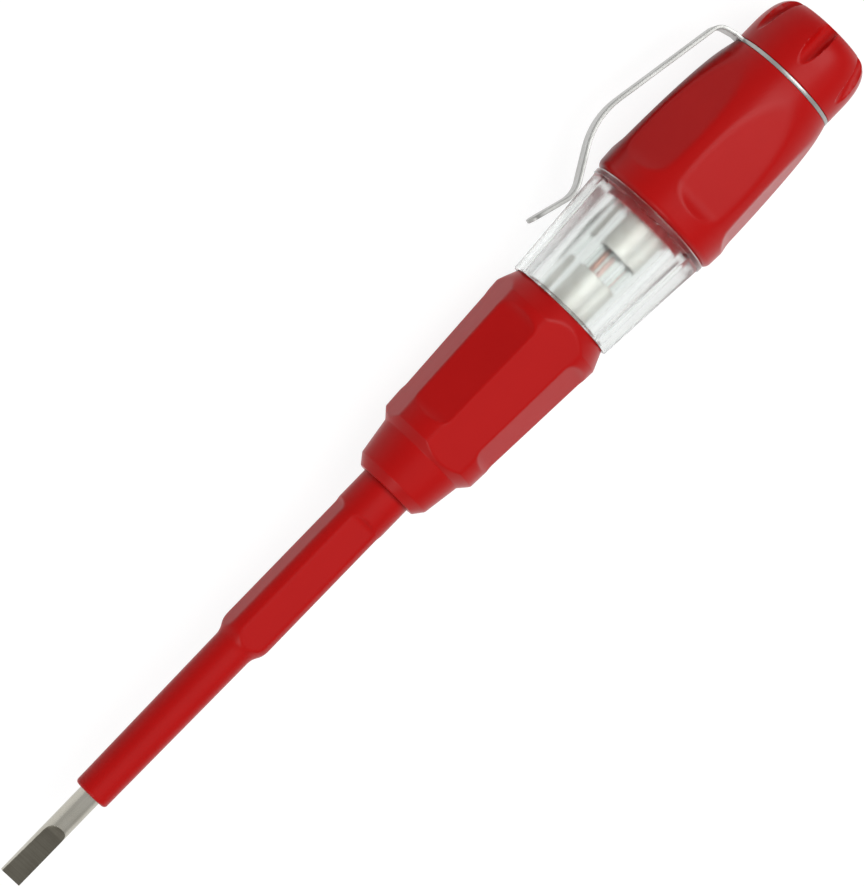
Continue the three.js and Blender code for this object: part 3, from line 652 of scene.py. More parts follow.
def red_plastic(name, smooth, rough):
    values = (RED, DEEP_RED, smooth, rough)
    return surface_material(name, moulded_plastic, values, 0.002, Specular_IOR_Level=RED_GLOSS)


moulded_plastic = moulded_plastic_group()
sleeve_front, sleeve_rear = stations("blade_sleeve")
flare_front = sleeve_front + SLEEVE_THIN_LENGTH
flare_rear = flare_front + SLEEVE_FLARE_LENGTH
flare_middle = (flare_front + flare_rear) / 2
insert_front = sleeve_rear - SLEEVE_INSERT
flare = curve_points(
    30,
    (flare_front, SLEEVE_THIN_RADIUS),
    (flare_middle, SLEEVE_THIN_RADIUS),
    (flare_middle, SLEEVE_GRIP_RADIUS),
    (flare_rear, SLEEVE_GRIP_RADIUS),
)
sleeve_profile = np.vstack(
    [
        outline(
            [
                (sleeve_front, SLEEVE_BORE),
                (sleeve_front, SLEEVE_TIP_RADIUS, 0.45),
                (flare_front - 0.1, SLEEVE_THIN_RADIUS),
            ],
            0.3,
        ),
        flare,
        outline([(flare_rear + 0.1, SLEEVE_GRIP_RADIUS), (insert_front, SLEEVE_GRIP_RADIUS)], 0.14),
        outline(
            [
                (insert_front + 0.5, SLEEVE_GRIP_RADIUS),
                (sleeve_rear, SLEEVE_GRIP_RADIUS, 0.2),
                (sleeve_rear, SLEEVE_BORE),
                (sleeve_front + 1, SLEEVE_BORE),
            ],
            4,
        ),
    ]
)
sleeve = add_piece(
    "insulating_sleeve",
    turned_blank("insulating_sleeve", sleeve_profile, 192, closed=True),
    red_plastic("red_sleeve_plastic", 0.33, 0.38),
)
mill_flats(
    sleeve,
    count=4,
    turn=0,
    front=(flare_front, SLEEVE_FLAT_HEIGHT),
    rear=(insert_front - SLEEVE_ROUND_LENGTH, SLEEVE_FLAT_HEIGHT),
    run_outs=(0, SLEEVE_RUN_OUT),
    rounding=0.3,
    sharp_angle=40,
)
stand_for(sleeve, "blade_sleeve", "handle")

# Front handle: one red moulding, bonded over the sleeve's end and the blade's wings.
# Its tapered grip has four flats from end to end and four sunk panels between them.
# The nose is a plain cone with a chamfered front edge.
NOSE_LENGTH = 6
NOSE_FRONT_RADIUS = 5.25
NOSE_CHAMFER_LENGTH = 1.3
NOSE_CHAMFER_DEPTH = 1
NOSE_REAR_RADIUS = 5.95
SHOULDER_LENGTH = 1.3
GRIP_LENGTH = 20.2
GRIP_FRONT_RADIUS = 7.1
GRIP_REAR_RADIUS = 8.05
GRIP_END_RADIUS = 7
GRIP_FLAT_COUNT = 4
GRIP_FLAT_DEPTH = 0.62
GRIP_EDGE = 0.25
PANEL_DEPTH = 0.68
PANEL_FRONT_MARGIN = 3.8
PANEL_REAR_MARGIN = 2.6
PANEL_RUN_OUT = 2.2
FRONT_SOCKET_RADIUS = 5.35
FRONT_SOCKET_DEPTH = 6.6
RESISTOR_BORE = 2.5


def grip_radius(station):
    return GRIP_FRONT_RADIUS + (GRIP_REAR_RADIUS - GRIP_FRONT_RADIUS) * (station - grip_front) / GRIP_LENGTH


nose_front, front_handle_rear = stations("front_handle")
nose_rear = nose_front + NOSE_LENGTH
grip_front = nose_rear + SHOULDER_LENGTH
grip_rear = grip_front + GRIP_LENGTH
socket_front = front_handle_rear - FRONT_SOCKET_DEPTH
front_profile = np.vstack(
    [
        outline(
            [
                (nose_front, SLEEVE_GRIP_RADIUS + FIT_GAP),
                (nose_front, NOSE_FRONT_RADIUS - NOSE_CHAMFER_DEPTH, 0.25),
                (nose_front + NOSE_CHAMFER_LENGTH, NOSE_FRONT_RADIUS, 0.6),
                (nose_rear, NOSE_REAR_RADIUS, 0.35),
                (grip_front, GRIP_FRONT_RADIUS, 0.35),
                (grip_rear, GRIP_REAR_RADIUS, 0.3),
                (front_handle_rear, GRIP_END_RADIUS, 0.15),
                (front_handle_rear, FRONT_SOCKET_RADIUS),
            ],
            0.16,
        ),
        outline(
            [
                (front_handle_rear - 0.5, FRONT_SOCKET_RADIUS),
                (socket_front, FRONT_SOCKET_RADIUS),
                (socket_front, RESISTOR_BORE),
                (wing_front - FIT_GAP, RESISTOR_BORE),
                (wing_front - FIT_GAP, SLEEVE_BORE),
                (sleeve_rear + FIT_GAP, SLEEVE_BORE),
                (sleeve_rear + FIT_GAP, SLEEVE_GRIP_RADIUS + FIT_GAP),
                (nose_front + 0.5, SLEEVE_GRIP_RADIUS + FIT_GAP),
            ],
            4,
        ),
    ]
)
front_handle = add_piece(
    "front_grip",
    turned_blank("front_grip", front_profile, 320, closed=True),
    red_plastic("red_grip_plastic", 0.3, 0.35),
)
mill_flats(
    front_handle,
    count=GRIP_FLAT_COUNT,
    turn=0,
    front=(nose_rear, grip_radius(nose_rear) - GRIP_FLAT_DEPTH),
    rear=(front_handle_rear, grip_radius(front_handle_rear) - GRIP_FLAT_DEPTH),
    run_outs=(0, 0),
    rounding=GRIP_EDGE,
    sharp_angle=45,
)
panel_front = grip_front + PANEL_FRONT_MARGIN
panel_rear = grip_rear - PANEL_REAR_MARGIN
mill_flats(
    front_handle,
    count=GRIP_FLAT_COUNT,
    turn=math.pi / GRIP_FLAT_COUNT,
    front=(panel_front, grip_radius(panel_front) - PANEL_DEPTH),
    rear=(panel_rear, grip_radius(panel_rear) - PANEL_DEPTH),
    run_outs=(PANEL_RUN_OUT, PANEL_RUN_OUT),
    rounding=GRIP_EDGE,
    sharp_angle=45,
)
stand_for(front_handle, "front_handle", "handle")

# Resistor: a lacquered rod with a pressed brass cap on each end, lying loose in the front handle.
# It limits the current, and the lamp pushes it against the end of the blade.
# Nothing of it shows once the tester is closed.
RESISTOR_RADIUS = 2.1
RESISTOR_CAP_RADIUS = 2.4
RESISTOR_CAP_BORE = 2.2
RESISTOR_CAP_FLOOR = 0.5
LACQUER = (0.26, 0.15, 0.08, 1)
DEEP_LACQUER = (0.2, 0.11, 0.06, 1)
BRASS = (0.62, 0.44, 0.17, 1)
DULL_BRASS = (0.45, 0.31, 0.12, 1)


def plain_round(name, corners, columns, material, step=0.4, closed=False, middle=(0, 0), sharp=35):
    mesh = turned_blank(name, outline(corners, step), columns, closed=closed, middle=middle)
    tidy_mesh(mesh, sharp)
    return add_piece(name, mesh, material)


brass = metal("pressed_brass", BRASS, DULL_BRASS, (700, 700, 700), 0.28, 0.42, 0.01)
lacquer = surface_material("resistor_lacquer", moulded_plastic, (LACQUER, DEEP_LACQUER, 0.45, 0.65), 0.02)
rod_front, rod_rear = stations("resistor_body")
resistor = plain_round(
    "resistor_rod",
    [
        (rod_front, 0),
        (rod_front, RESISTOR_RADIUS, 0.3),
        (rod_rear, RESISTOR_RADIUS, 0.3),
        (rod_rear, 0),
    ],
    48,
    lacquer,
)
stand_for(resistor, "resistor_body", "handle")


def pressed_cap(name, base, rim, radius, bore, floor, material):
    """A pressed cup: the base is at one station and the open rim at the other."""
    inner = base + math.copysign(floor, rim - base)
    corners = [
        (base, 0),
        (base, radius, 0.25),
        (rim, radius, 0.08),
        (rim, bore, 0.08),
        (inner, bore, 0.1),
        (inner, 0),
    ]
    if rim < base:
        corners.reverse()
    return plain_round(name, corners, 64, material)


for end in ("front", "rear"):
    node = "resistor_" + end + "_cap"
    low, high = stations(node)
    base, rim = (low, high) if end == "front" else (high, low)
    name = "resistor_cap_" + end
    cap = pressed_cap(name, base, rim, RESISTOR_CAP_RADIUS, RESISTOR_CAP_BORE, RESISTOR_CAP_FLOOR, brass)
    stand_for(cap, node, "handle")

# Lamp: a small glow lamp, a glass tube held in two pressed caps, with an electrode from each cap.
# It lies on the tool's axis inside the window, and the contact spring presses on its rear cap.
# The caps are tinned brass, and the two electrodes are copper-coated wire side by side.
LAMP_CAP_RADIUS = 3
LAMP_CAP_BORE = 2.75
LAMP_CAP_FLOOR = 0.8
LAMP_GLASS_RADIUS = 2.65
LAMP_GLASS_BORE = 2.15
ELECTRODE_RADIUS = 0.55
ELECTRODE_LENGTH = 3.4
LEAD_RADIUS = 0.25
GLASS_TINT = (0.96, 0.97, 0.96, 1)
TIN = (0.94, 0.93, 0.9, 1)
DULL_TIN = (0.86, 0.84, 0.79, 1)
COPPER = (0.72, 0.4, 0.32, 1)
DULL_COPPER = (0.55, 0.3, 0.26, 1)


def clear_material(name, tint, smooth, rough, index, depth):
    values = (tint, tint, smooth, rough)
    return surface_material(name, moulded_plastic, values, depth, Transmission_Weight=1.0, IOR=index)


glass_front, glass_rear = stations("lamp_glass")
glass = plain_round(
    "lamp_bulb",
    [
        (glass_front, LAMP_GLASS_BORE),
        (glass_front, LAMP_GLASS_RADIUS, 0.2),
        (glass_rear, LAMP_GLASS_RADIUS, 0.2),
        (glass_rear, LAMP_GLASS_BORE),
    ],
    64,
    clear_material("lamp_tube_glass", GLASS_TINT, 0.0, 0.03, 1.47, 0.001),
    closed=True,
)
stand_for(glass, "lamp_glass", "handle")
tinned = metal("tinned_brass", TIN, DULL_TIN, (900, 900, 900), 0.6, 0.72, 0.01)
copper = metal("electrode_copper", COPPER, DULL_COPPER, (300, 2500, 2500), 0.35, 0.5, 0.01)
for end in ("front", "rear"):
    node = "lamp_" + end + "_cap"
    low, high = stations(node)
    base, rim = (low, high) if end == "front" else (high, low)
    cap = pressed_cap("lamp_cap_" + end, base, rim, LAMP_CAP_RADIUS, LAMP_CAP_BORE, LAMP_CAP_FLOOR, tinned)
    stand_for(cap, node, "handle")
    node = "lamp_" + end + "_electrode"
    low, high = stations(node)
    offset = (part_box(node)[0][1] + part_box(node)[1][1]) / 2 / MM
    if end == "front":
        shoulder = high - ELECTRODE_LENGTH
        corners = [(low, 0), (low, LEAD_RADIUS), (shoulder, LEAD_RADIUS, 0.1)]
        corners += [(shoulder, ELECTRODE_RADIUS, 0.15), (high, ELECTRODE_RADIUS, 0.3), (high, 0)]
    else:
        shoulder = low + ELECTRODE_LENGTH
        corners = [(low, 0), (low, ELECTRODE_RADIUS, 0.3), (shoulder, ELECTRODE_RADIUS, 0.15)]
        corners += [(shoulder, LEAD_RADIUS, 0.1), (high, LEAD_RADIUS), (high, 0)]
    wire = plain_round("lamp_electrode_" + end, corners, 32, copper, middle=(offset, 0))
    stand_for(wire, node, "handle")

# Window: a clear moulded tube with ten facets, bonded into both handles by a round spigot at each end.
# A thin round collar at its rear edge meets the rear handle.
# The plastic is polished and faintly green, and the lamp is seen through it.
WINDOW_LENGTH = 15.7
WINDOW_FACETS = 10
WINDOW_FRONT_RADIUS = 7.6
WINDOW_REAR_RADIUS = 8.6
WINDOW_COLLAR_LENGTH = 0.7
WINDOW_COLLAR_RADIUS = 8.7
FACET_TURN = math.radians(24.5)
FRONT_SPIGOT_RADIUS = 5.4
REAR_SPIGOT_RADIUS = 6.15
LAMP_SEAT_RADIUS = 3.1
LAMP_SEAT_DEPTH = 0.6
LAMP_SEAT_ROOM = 0.3
CHAMBER_RADIUS = 4.1
WINDOW_EDGE = 0.06
WINDOW_TINT = (0.92, 0.95, 0.935, 1)
REAR_FRONT_RADIUS = 9.1
REAR_FRONT_ROUND = 1
window_front = front_handle_rear
window_rear = window_front + WINDOW_LENGTH
collar_front = window_rear - WINDOW_COLLAR_LENGTH
spigot_front, spigot_rear = stations("window_tube")
seat_front = stations("lamp_front_cap")[0] - LAMP_SEAT_ROOM
window_profile = np.vstack(
    [
        outline(
            [
                (spigot_front, RESISTOR_BORE),
                (spigot_front, FRONT_SPIGOT_RADIUS, 0.2),
                (window_front - FIT_GAP, FRONT_SPIGOT_RADIUS),
                (window_front - FIT_GAP, GRIP_END_RADIUS - 0.2),
                (window_front, GRIP_END_RADIUS),
                (window_front, WINDOW_FRONT_RADIUS - WINDOW_EDGE, 0.1),
                (collar_front, WINDOW_REAR_RADIUS - WINDOW_EDGE),
                (collar_front, WINDOW_COLLAR_RADIUS, 0.05),
                (window_rear, WINDOW_COLLAR_RADIUS, 0.1),
                (window_rear, REAR_FRONT_RADIUS - REAR_FRONT_ROUND),
                (window_rear + FIT_GAP, REAR_FRONT_RADIUS - REAR_FRONT_ROUND - 0.2),
                (window_rear + FIT_GAP, REAR_SPIGOT_RADIUS),
            ],
            0.25,
        ),
        outline(
            [
                (window_rear + 0.5, REAR_SPIGOT_RADIUS),
                (spigot_rear, REAR_SPIGOT_RADIUS, 0.2),
                (spigot_rear, CHAMBER_RADIUS),
                (window_front + LAMP_SEAT_DEPTH, CHAMBER_RADIUS, 0.1),
                (window_front + LAMP_SEAT_DEPTH, LAMP_SEAT_RADIUS),
                (seat_front, LAMP_SEAT_RADIUS),
                (seat_front, RESISTOR_BORE),
                (spigot_front + 0.5, RESISTOR_BORE),
            ],
            1,
        ),
    ]
)
window = add_piece(
    "lamp_window",
    turned_blank("lamp_window", window_profile, 400, closed=True),
    clear_material("clear_window_plastic", WINDOW_TINT, 0.2, 0.26, 1.49, 0.002),
)
facet_share = math.cos(math.pi / WINDOW_FACETS)
mill_flats(
    window,
    count=WINDOW_FACETS,
    turn=FACET_TURN,
    front=(window_front, WINDOW_FRONT_RADIUS * facet_share),
    rear=(collar_front - 0.1, WINDOW_REAR_RADIUS * facet_share),
    run_outs=(0, 0.1),
    rounding=0.05,
    sharp_angle=30,
)
stand_for(window, "window_tube", "handle")

# Rear handle: a red barrel bonded over the window's rear spigot, with six thumb scoops round it.
# Each scoop is a flat that curves up out of the barrel in front and runs out at the rear end.
# A thin liner reaches into the window round the lamp's cap, and a threaded bore takes the cap's stud.
REAR_ROUND_PULL = 0.45
REAR_SWELL = 0.4
REAR_SWELL_START = 6.5
REAR_FALL_START = 6
REAR_END_RADIUS = 7.45
REAR_SOCKET_RADIUS = 6.1
REAR_SOCKET_DEPTH = 7.65
STUD_BORE = 3.1
LINER_REACH = 1.4
SCOOP_COUNT = 6
SCOOP_START = 5
SCOOP_FRONT_HEIGHT = 8.53
SCOOP_REAR_HEIGHT = 7.95
SCOOP_RUN_OUT = 4.3
rear_front, rear_end = stations("rear_handle")
barrel_front = rear_front + REAR_FRONT_ROUND
barrel = curve_points(
    170,
    (barrel_front, REAR_FRONT_RADIUS),
    (barrel_front + REAR_SWELL_START, REAR_FRONT_RADIUS + REAR_SWELL),
    (rear_end - REAR_FALL_START, REAR_FRONT_RADIUS),
    (rear_end, REAR_END_RADIUS),
)
front_round = curve_points(
    12,
    (rear_front, REAR_FRONT_RADIUS - REAR_FRONT_ROUND),
    (rear_front, REAR_FRONT_RADIUS - REAR_ROUND_PULL),
    (rear_front + REAR_ROUND_PULL, REAR_FRONT_RADIUS),
    (barrel_front, REAR_FRONT_RADIUS),
)
socket_rear = rear_front + REAR_SOCKET_DEPTH
liner_front = rear_front - LINER_REACH
liner_radius = CHAMBER_RADIUS + FIT_GAP
rear_profile = np.vstack(
    [
        outline(
            [
                (rear_front, REAR_SOCKET_RADIUS),
                (rear_front, REAR_FRONT_RADIUS - REAR_FRONT_ROUND - 0.1),
            ],
            1,
        ),
        front_round,
        barrel[1:],
        outline(
            [
                (rear_end, REAR_END_RADIUS - 0.3),
                (rear_end, STUD_BORE, 0.2),
                (liner_front, STUD_BORE),
                (liner_front, liner_radius),
                (socket_rear, liner_radius),
                (socket_rear, REAR_SOCKET_RADIUS),
                (rear_front + 0.5, REAR_SOCKET_RADIUS),
            ],
            3,
        ),
    ]
)
rear_handle = add_piece(
    "rear_grip",
    turned_blank("rear_grip", rear_profile, 420, closed=True),
    red_plastic("red_barrel_plastic", 0.28, 0.33),
)
mill_flats(
    rear_handle,
    count=SCOOP_COUNT,
    turn=0,
    front=(rear_front + SCOOP_START, SCOOP_FRONT_HEIGHT),
    rear=(rear_end, SCOOP_REAR_HEIGHT),
    run_outs=(SCOOP_RUN_OUT, 0),
    rounding=0.3,
    sharp_angle=45,
)
stand_for(rear_handle, "rear_handle", "handle")

# Contact spring and cup: a coil of steel wire that sits in a small brass cup.
# The stud pushes the cup, and the spring presses the lamp and the resistor on to the blade.
# They lie in the rear handle's bore and don't show.
SPRING_WIRE = 0.5
SPRING_TURNS = 9
SPRING_RADIUS = 2.1
SPRING_COLOUR = (0.62, 0.62, 0.61, 1)
DULL_SPRING = (0.48, 0.48, 0.47, 1)
CUP_RADIUS = 2.8
CUP_BORE = 2.45
CUP_FLOOR = 0.6


def spring_tree():
    """A round wire wound along the tool's axis, with the first turn at the front."""
    numbers = ["Front Station", "Length", "Coil Radius", "Wire Radius", "Turns"]
    tree, given = new_tree("wound_spring", numbers)
    coil = add_node(tree, "GeometryNodeCurveSpiral")
    coil.inputs["Resolution"].default_value = 40
    feed(tree, coil.inputs["Rotations"], given["Turns"])
    feed(tree, coil.inputs["Start Radius"], calc(tree, "MULTIPLY", given["Coil Radius"], MM))
    feed(tree, coil.inputs["End Radius"], calc(tree, "MULTIPLY", given["Coil Radius"], MM))
    feed(tree, coil.inputs["Height"], calc(tree, "MULTIPLY", given["Length"], MM))
    wire = add_node(tree, "GeometryNodeCurvePrimitiveCircle")
    wire.inputs["Resolution"].default_value = 12
    feed(tree, wire.inputs["Radius"], calc(tree, "MULTIPLY", given["Wire Radius"], MM))
    drawn = add_node(tree, "GeometryNodeCurveToMesh")
    tree.links.new(coil.outputs[0], drawn.inputs["Curve"])
    tree.links.new(wire.outputs[0], drawn.inputs["Profile Curve"])
    drawn.inputs["Fill Caps"].default_value = True
    laid = add_node(tree, "GeometryNodeTransform")
    tree.links.new(drawn.outputs[0], laid.inputs["Geometry"])
    laid.inputs["Rotation"].default_value = (0, -math.pi / 2, 0)
    place = add_node(tree, "ShaderNodeCombineXYZ")
    feed(tree, place.inputs[0], calc(tree, "MULTIPLY", given["Front Station"], -MM))
    tree.links.new(place.outputs[0], laid.inputs["Translation"])
    end_tree(tree, laid.outputs[0], given["Material"])
    return tree


spring_front, spring_rear = stations("contact_spring")
spring_wire = metal("bright_spring_wire", SPRING_COLOUR, DULL_SPRING, (800, 800, 800), 0.22, 0.36, 0.005)
spring = add_piece("contact_coil", bpy.data.meshes.new("contact_coil"), spring_wire)
run_tree(
    spring,
    spring_tree(),
    {
        "Front Station": spring_front + SPRING_WIRE / 2,
        "Length": spring_rear - spring_front - SPRING_WIRE,
        "Coil Radius": SPRING_RADIUS,
        "Wire Radius": SPRING_WIRE / 2,
        "Turns": SPRING_TURNS,
    },
    60,
)
stand_for(spring, "contact_spring", "handle")
cup_front, cup_rear = stations("spring_cup")
cup = pressed_cap("spring_seat", cup_rear, cup_front, CUP_RADIUS, CUP_BORE, CUP_FLOOR, brass)
stand_for(cup, "spring_cup", "spring_cup")

# Pocket clip: one strip of bright sheet steel, punched with a ring at one end and bent four times.
# The ring is held between the rear handle and the cap, and the strip springs on to the window.
# The edges are lightly broken, and rolling lines run along the strip.
CLIP_THICKNESS = 0.5
CLIP_HALF_WIDTH = 2.25
CLIP_TURN = math.radians(105)
CLIP_RING_RADIUS = 7.45
CLIP_HOLE_RADIUS = 3.3
CLIP_TAIL_ROUND = 1.6
CLIP_BROKEN_EDGE = 0.09
CLIP_COLUMNS = 12
CLIP_COLOUR = (0.46, 0.46, 0.445, 1)
DULL_CLIP = (0.35, 0.35, 0.335, 1)
CLIP_CORNERS = [
    (133.25, 0, 0),
    (133.25, 8.05, 1),
    (132.6, 10.35, 1.5),
    (114.1, 13.34, 10),
    (105.9, 8.487, 3.6),
    (99.54, 10.26, 0),
]
clip_path = outline(CLIP_CORNERS, 0.4)
clip_length = np.concatenate([[0], np.cumsum(np.linalg.norm(np.diff(clip_path, axis=0), axis=1))])


def fold_clip(along, sideways):
    """Lays a point of the flat strip on the bent path. The ring's middle is at zero."""
    station = np.interp(along, clip_length, clip_path[:, 0])
    height = np.where(along < 0, along, np.interp(along, clip_length, clip_path[:, 1]))
    out = (0, -math.sin(CLIP_TURN), math.cos(CLIP_TURN))
    round_way = (0, -math.cos(CLIP_TURN), -math.sin(CLIP_TURN))
    x = -station
    y = height * out[1] + sideways * round_way[1]
    z = height * out[2] + sideways * round_way[2]
    return np.stack([x, y, z], -1) * MM


def clip_mesh(name):
    shape = bmesh.new()
    half_angle = math.asin(CLIP_HALF_WIDTH / CLIP_RING_RADIUS)
    strip_angles = np.linspace(-half_angle, half_angle, CLIP_COLUMNS + 1)
    ring_angles = np.linspace(half_angle, 2 * math.pi - half_angle, 72)[1:-1]
    angles = np.concatenate([strip_angles, ring_angles])
    rows = []
    for radius in np.linspace(CLIP_HOLE_RADIUS, CLIP_RING_RADIUS, 6):
        points = fold_clip(radius * np.cos(angles), radius * np.sin(angles))
        rows.append([shape.verts.new(point) for point in points])
    for inner, outer in zip(rows, rows[1:]):
        for k in range(len(angles)):
            after = (k + 1) % len(angles)
            shape.faces.new((inner[k], outer[k], outer[after], inner[after]))
    before = rows[-1][: CLIP_COLUMNS + 1]
    end = clip_length[-1]
    for along in clip_length[clip_length > CLIP_RING_RADIUS + 0.2]:
        past = max(0, along - (end - CLIP_TAIL_ROUND))
        half = CLIP_HALF_WIDTH - CLIP_TAIL_ROUND + math.sqrt(max(CLIP_TAIL_ROUND**2 - past**2, 0))
        side = np.linspace(-half, half, CLIP_COLUMNS + 1)
        row = [shape.verts.new(point) for point in fold_clip(np.full(CLIP_COLUMNS + 1, along), side)]
        for k in range(CLIP_COLUMNS):
            shape.faces.new((before[k], row[k], row[k + 1], before[k + 1]))
        before = row
    bmesh.ops.recalc_face_normals(shape, faces=shape.faces)
    mesh = bpy.data.meshes.new(name)
    shape.to_mesh(mesh)
    shape.free()
    return mesh


clip_steel = metal("rolled_clip_steel", CLIP_COLOUR, DULL_CLIP, (120, 2200, 2200), 0.32, 0.42, 0.006)
clip = add_piece("pocket_clip", clip_mesh("pocket_clip"), clip_steel)
wall = clip.modifiers.new("sheet", "SOLIDIFY")
wall.thickness = CLIP_THICKNESS * MM
wall.offset = 0
soft = clip.modifiers.new("broken_edges", "BEVEL")
soft.width = CLIP_BROKEN_EDGE * MM
soft.segments = 2
soft.angle_limit = math.radians(50)
clip_graph = bpy.context.evaluated_depsgraph_get()
clip.data = bpy.data.meshes.new_from_object(clip.evaluated_get(clip_graph))
clip.modifiers.clear()
tidy_mesh(clip.data, 50)
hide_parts("clip_ring", "clip_arm")
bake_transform(clip)

# End cap and stud: a red cap moulded round a brass screw, which closes the rear handle.
# Six grip notches deepen towards the cap's flat end.
# A finger on the cap closes the circuit, and unscrewing it lets the lamp be changed.
CAP_RADIUS = 7.45
CAP_STRAIGHT = 2.5
CAP_CROWN_CORNER = 1.55
CAP_SHOULDER_RADIUS = 6
CAP_FACE_RADIUS = 5.2
CAP_FINE_RADIUS = 5.1
NOTCH_COUNT = 6
NOTCH_RADIUS = 1.1
NOTCH_DEPTH = 0.65
NOTCH_LEAD = 0.7
CAP_TURN = math.radians(21)
STUD_RADIUS = 3
STUD_FLANGE_RADIUS = 4.75
STUD_FLANGE_LENGTH = 0.8
STUD_BOSS_RADIUS = 3.5
BOSS_SOCKET_LENGTH = 3.6
STUD_PITCH = 1
STUD_THREAD_DEPTH = 0.5
THREAD_RUN_IN = 0.6


def notch_tree():
    """Cuts round-bottomed notches into a turned piece, each along a straight line that falls to the rear."""
    numbers = ["Middle Station", "Middle Height", "Slope", "Radius", "Edge Rounding", "Turn", "Count"]
    tree, given = new_tree("round_notches", numbers)
    place, station, radius, angle = round_place(tree)
    offset = nearest_share(tree, given, angle)
    along = calc(tree, "SUBTRACT", station, given["Middle Station"])
    fall = calc(tree, "MULTIPLY", along, given["Slope"])
    middle = calc(tree, "SUBTRACT", given["Middle Height"], fall)
    steep = calc(tree, "MULTIPLY_ADD", given["Slope"], given["Slope"], 1.0)
    flattened = calc(tree, "DIVIDE", 1.0, steep)
    sine = calc(tree, "SINE", offset)
    cosine = calc(tree, "COSINE", offset)
    first = calc(tree, "MULTIPLY", calc(tree, "MULTIPLY", cosine, cosine), flattened)
    first = calc(tree, "MULTIPLY_ADD", sine, sine, first)
    second = calc(tree, "MULTIPLY", calc(tree, "MULTIPLY", cosine, middle), flattened)
    third = calc(tree, "MULTIPLY", calc(tree, "MULTIPLY", middle, middle), flattened)
    third = calc(tree, "SUBTRACT", third, calc(tree, "MULTIPLY", given["Radius"], given["Radius"]))
    inside = calc(tree, "MULTIPLY", second, second)
    inside = calc(tree, "SUBTRACT", inside, calc(tree, "MULTIPLY", first, third))
    missed = calc(tree, "LESS_THAN", inside, 0.0)
    root = calc(tree, "SQRT", calc(tree, "MAXIMUM", inside, 0.0))
    notch = calc(tree, "DIVIDE", calc(tree, "SUBTRACT", second, root), first)
    notch = calc(tree, "MULTIPLY_ADD", missed, 100.0, notch)
    cut = calc(tree, "SMOOTH_MIN", radius, notch, given["Edge Rounding"])
    notched = move_to_radius(tree, given["Geometry"], place, radius, cut)
    end_tree(tree, notched, given["Material"])
    return tree


def thread_tree():
    """Winds a V thread into the plain shank of a screw between two stations."""
    numbers = ["Front Station", "Rear Station", "Pitch", "Depth", "Shank Radius"]
    tree, given = new_tree("screw_thread", numbers)
    place, station, radius, angle = round_place(tree)
    turn = calc(tree, "DIVIDE", angle, 2 * math.pi)
    phase = calc(tree, "ADD", calc(tree, "DIVIDE", station, given["Pitch"]), turn)
    valley = calc(tree, "MULTIPLY", calc(tree, "PINGPONG", phase, 0.5), 2.0)
    valley = calc(tree, "MULTIPLY", valley, given["Depth"])
    behind = calc(tree, "GREATER_THAN", station, given["Front Station"])
    ahead = calc(tree, "LESS_THAN", station, given["Rear Station"])
    outer = calc(tree, "GREATER_THAN", radius, calc(tree, "SUBTRACT", given["Shank Radius"], 0.02))
    used = calc(tree, "MULTIPLY", calc(tree, "MULTIPLY", behind, ahead), outer)
    cut = calc(tree, "SUBTRACT", radius, calc(tree, "MULTIPLY", valley, used))
    threaded = move_to_radius(tree, given["Geometry"], place, radius, cut)
    end_tree(tree, threaded, given["Material"])
    return tree


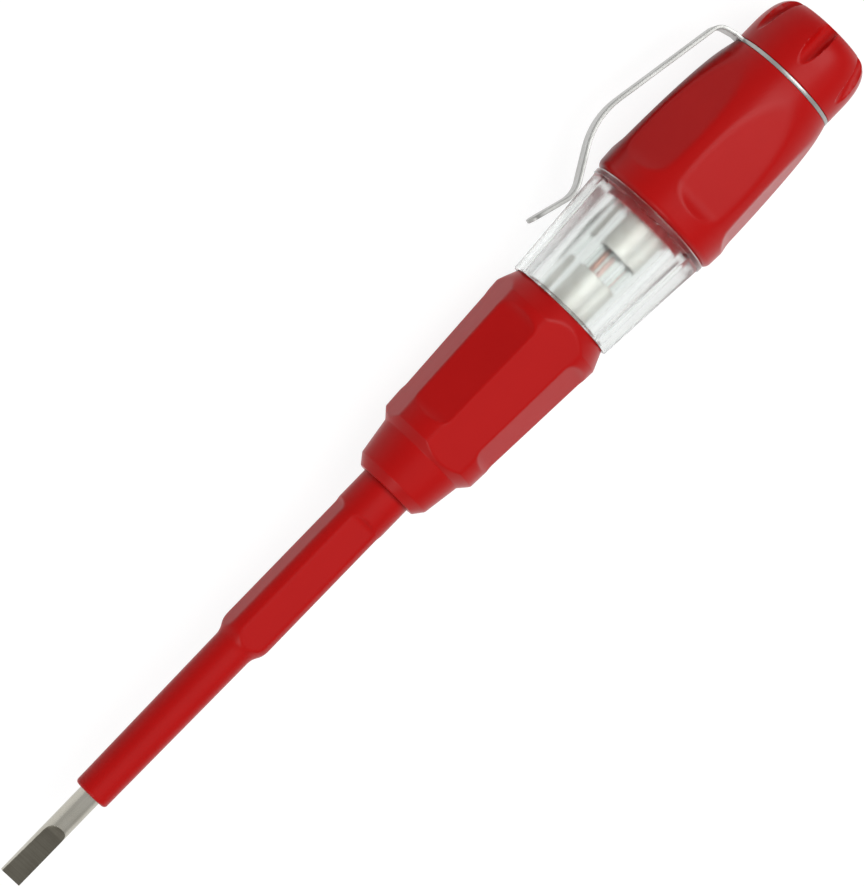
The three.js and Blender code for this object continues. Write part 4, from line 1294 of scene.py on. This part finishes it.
cap_front, cap_end = stations("end_cap")
crown_front = cap_front + CAP_STRAIGHT
cap_edge = (CAP_SHOULDER_RADIUS - CAP_FACE_RADIUS) / 2
crown_rear = cap_end - cap_edge
crown = curve_points(
    60,
    (crown_front, CAP_RADIUS),
    (cap_end - CAP_CROWN_CORNER, CAP_RADIUS),
    (crown_rear, CAP_SHOULDER_RADIUS),
)
end_edge = curve_points(
    12,
    (crown_rear, CAP_SHOULDER_RADIUS),
    (cap_end, CAP_SHOULDER_RADIUS - cap_edge),
    (cap_end, CAP_FACE_RADIUS),
)
flange_rear = cap_front + STUD_FLANGE_LENGTH
boss_rear = flange_rear + BOSS_SOCKET_LENGTH
boss_socket = STUD_BOSS_RADIUS + FIT_GAP
flange_socket = STUD_FLANGE_RADIUS + FIT_GAP
cap_profile = np.vstack(
    [
        outline(
            [
                (boss_rear, 0),
                (boss_rear, boss_socket),
                (flange_rear + FIT_GAP, boss_socket),
                (flange_rear + FIT_GAP, flange_socket),
                (cap_front, flange_socket),
            ],
            1,
        ),
        outline(
            [
                (cap_front, CAP_FINE_RADIUS),
                (cap_front, CAP_RADIUS, 0.15),
                (crown_front - 0.1, CAP_RADIUS),
            ],
            0.12,
        ),
        crown,
        end_edge[1:],
        outline([(cap_end, CAP_FACE_RADIUS - 0.15), (cap_end, 0)], 0.2),
    ]
)
screw_cap = add_piece(
    "screw_cap",
    turned_blank("screw_cap", cap_profile, 432),
    red_plastic("red_cap_plastic", 0.28, 0.33),
)
notch_fall = CAP_RADIUS - CAP_SHOULDER_RADIUS + NOTCH_DEPTH
notch_front = crown_front - NOTCH_LEAD
notch_slope = notch_fall / (crown_rear - notch_front)
notch_middle = CAP_RADIUS - notch_fall / 2 + NOTCH_RADIUS * math.sqrt(1 + notch_slope**2)
run_tree(
    screw_cap,
    notch_tree(),
    {
        "Middle Station": (notch_front + crown_rear) / 2,
        "Middle Height": notch_middle,
        "Slope": notch_slope,
        "Radius": NOTCH_RADIUS,
        "Edge Rounding": 0.15,
        "Turn": CAP_TURN,
        "Count": NOTCH_COUNT,
    },
    45,
)
stand_for(screw_cap, "end_cap", "end_cap")
stud_front, stud_rear = stations("contact_stud")
stud_profile = np.vstack(
    [
        outline([(stud_front, 0), (stud_front, STUD_RADIUS, 0.4), (cap_front, STUD_RADIUS)], 0.08),
        outline(
            [
                (cap_front, STUD_RADIUS + 0.1),
                (cap_front, STUD_FLANGE_RADIUS, 0.1),
                (flange_rear, STUD_FLANGE_RADIUS, 0.1),
                (flange_rear, STUD_BOSS_RADIUS),
                (stud_rear, STUD_BOSS_RADIUS, 0.2),
                (stud_rear, 0),
            ],
            1,
        ),
    ]
)
stud = add_piece("contact_screw", turned_blank("contact_screw", stud_profile, 96), brass)
run_tree(
    stud,
    thread_tree(),
    {
        "Front Station": stud_front + THREAD_RUN_IN,
        "Rear Station": cap_front - THREAD_RUN_IN,
        "Pitch": STUD_PITCH,
        "Depth": STUD_THREAD_DEPTH,
        "Shank Radius": STUD_RADIUS,
    },
    60,
)
stand_for(stud, "contact_stud", "end_cap")
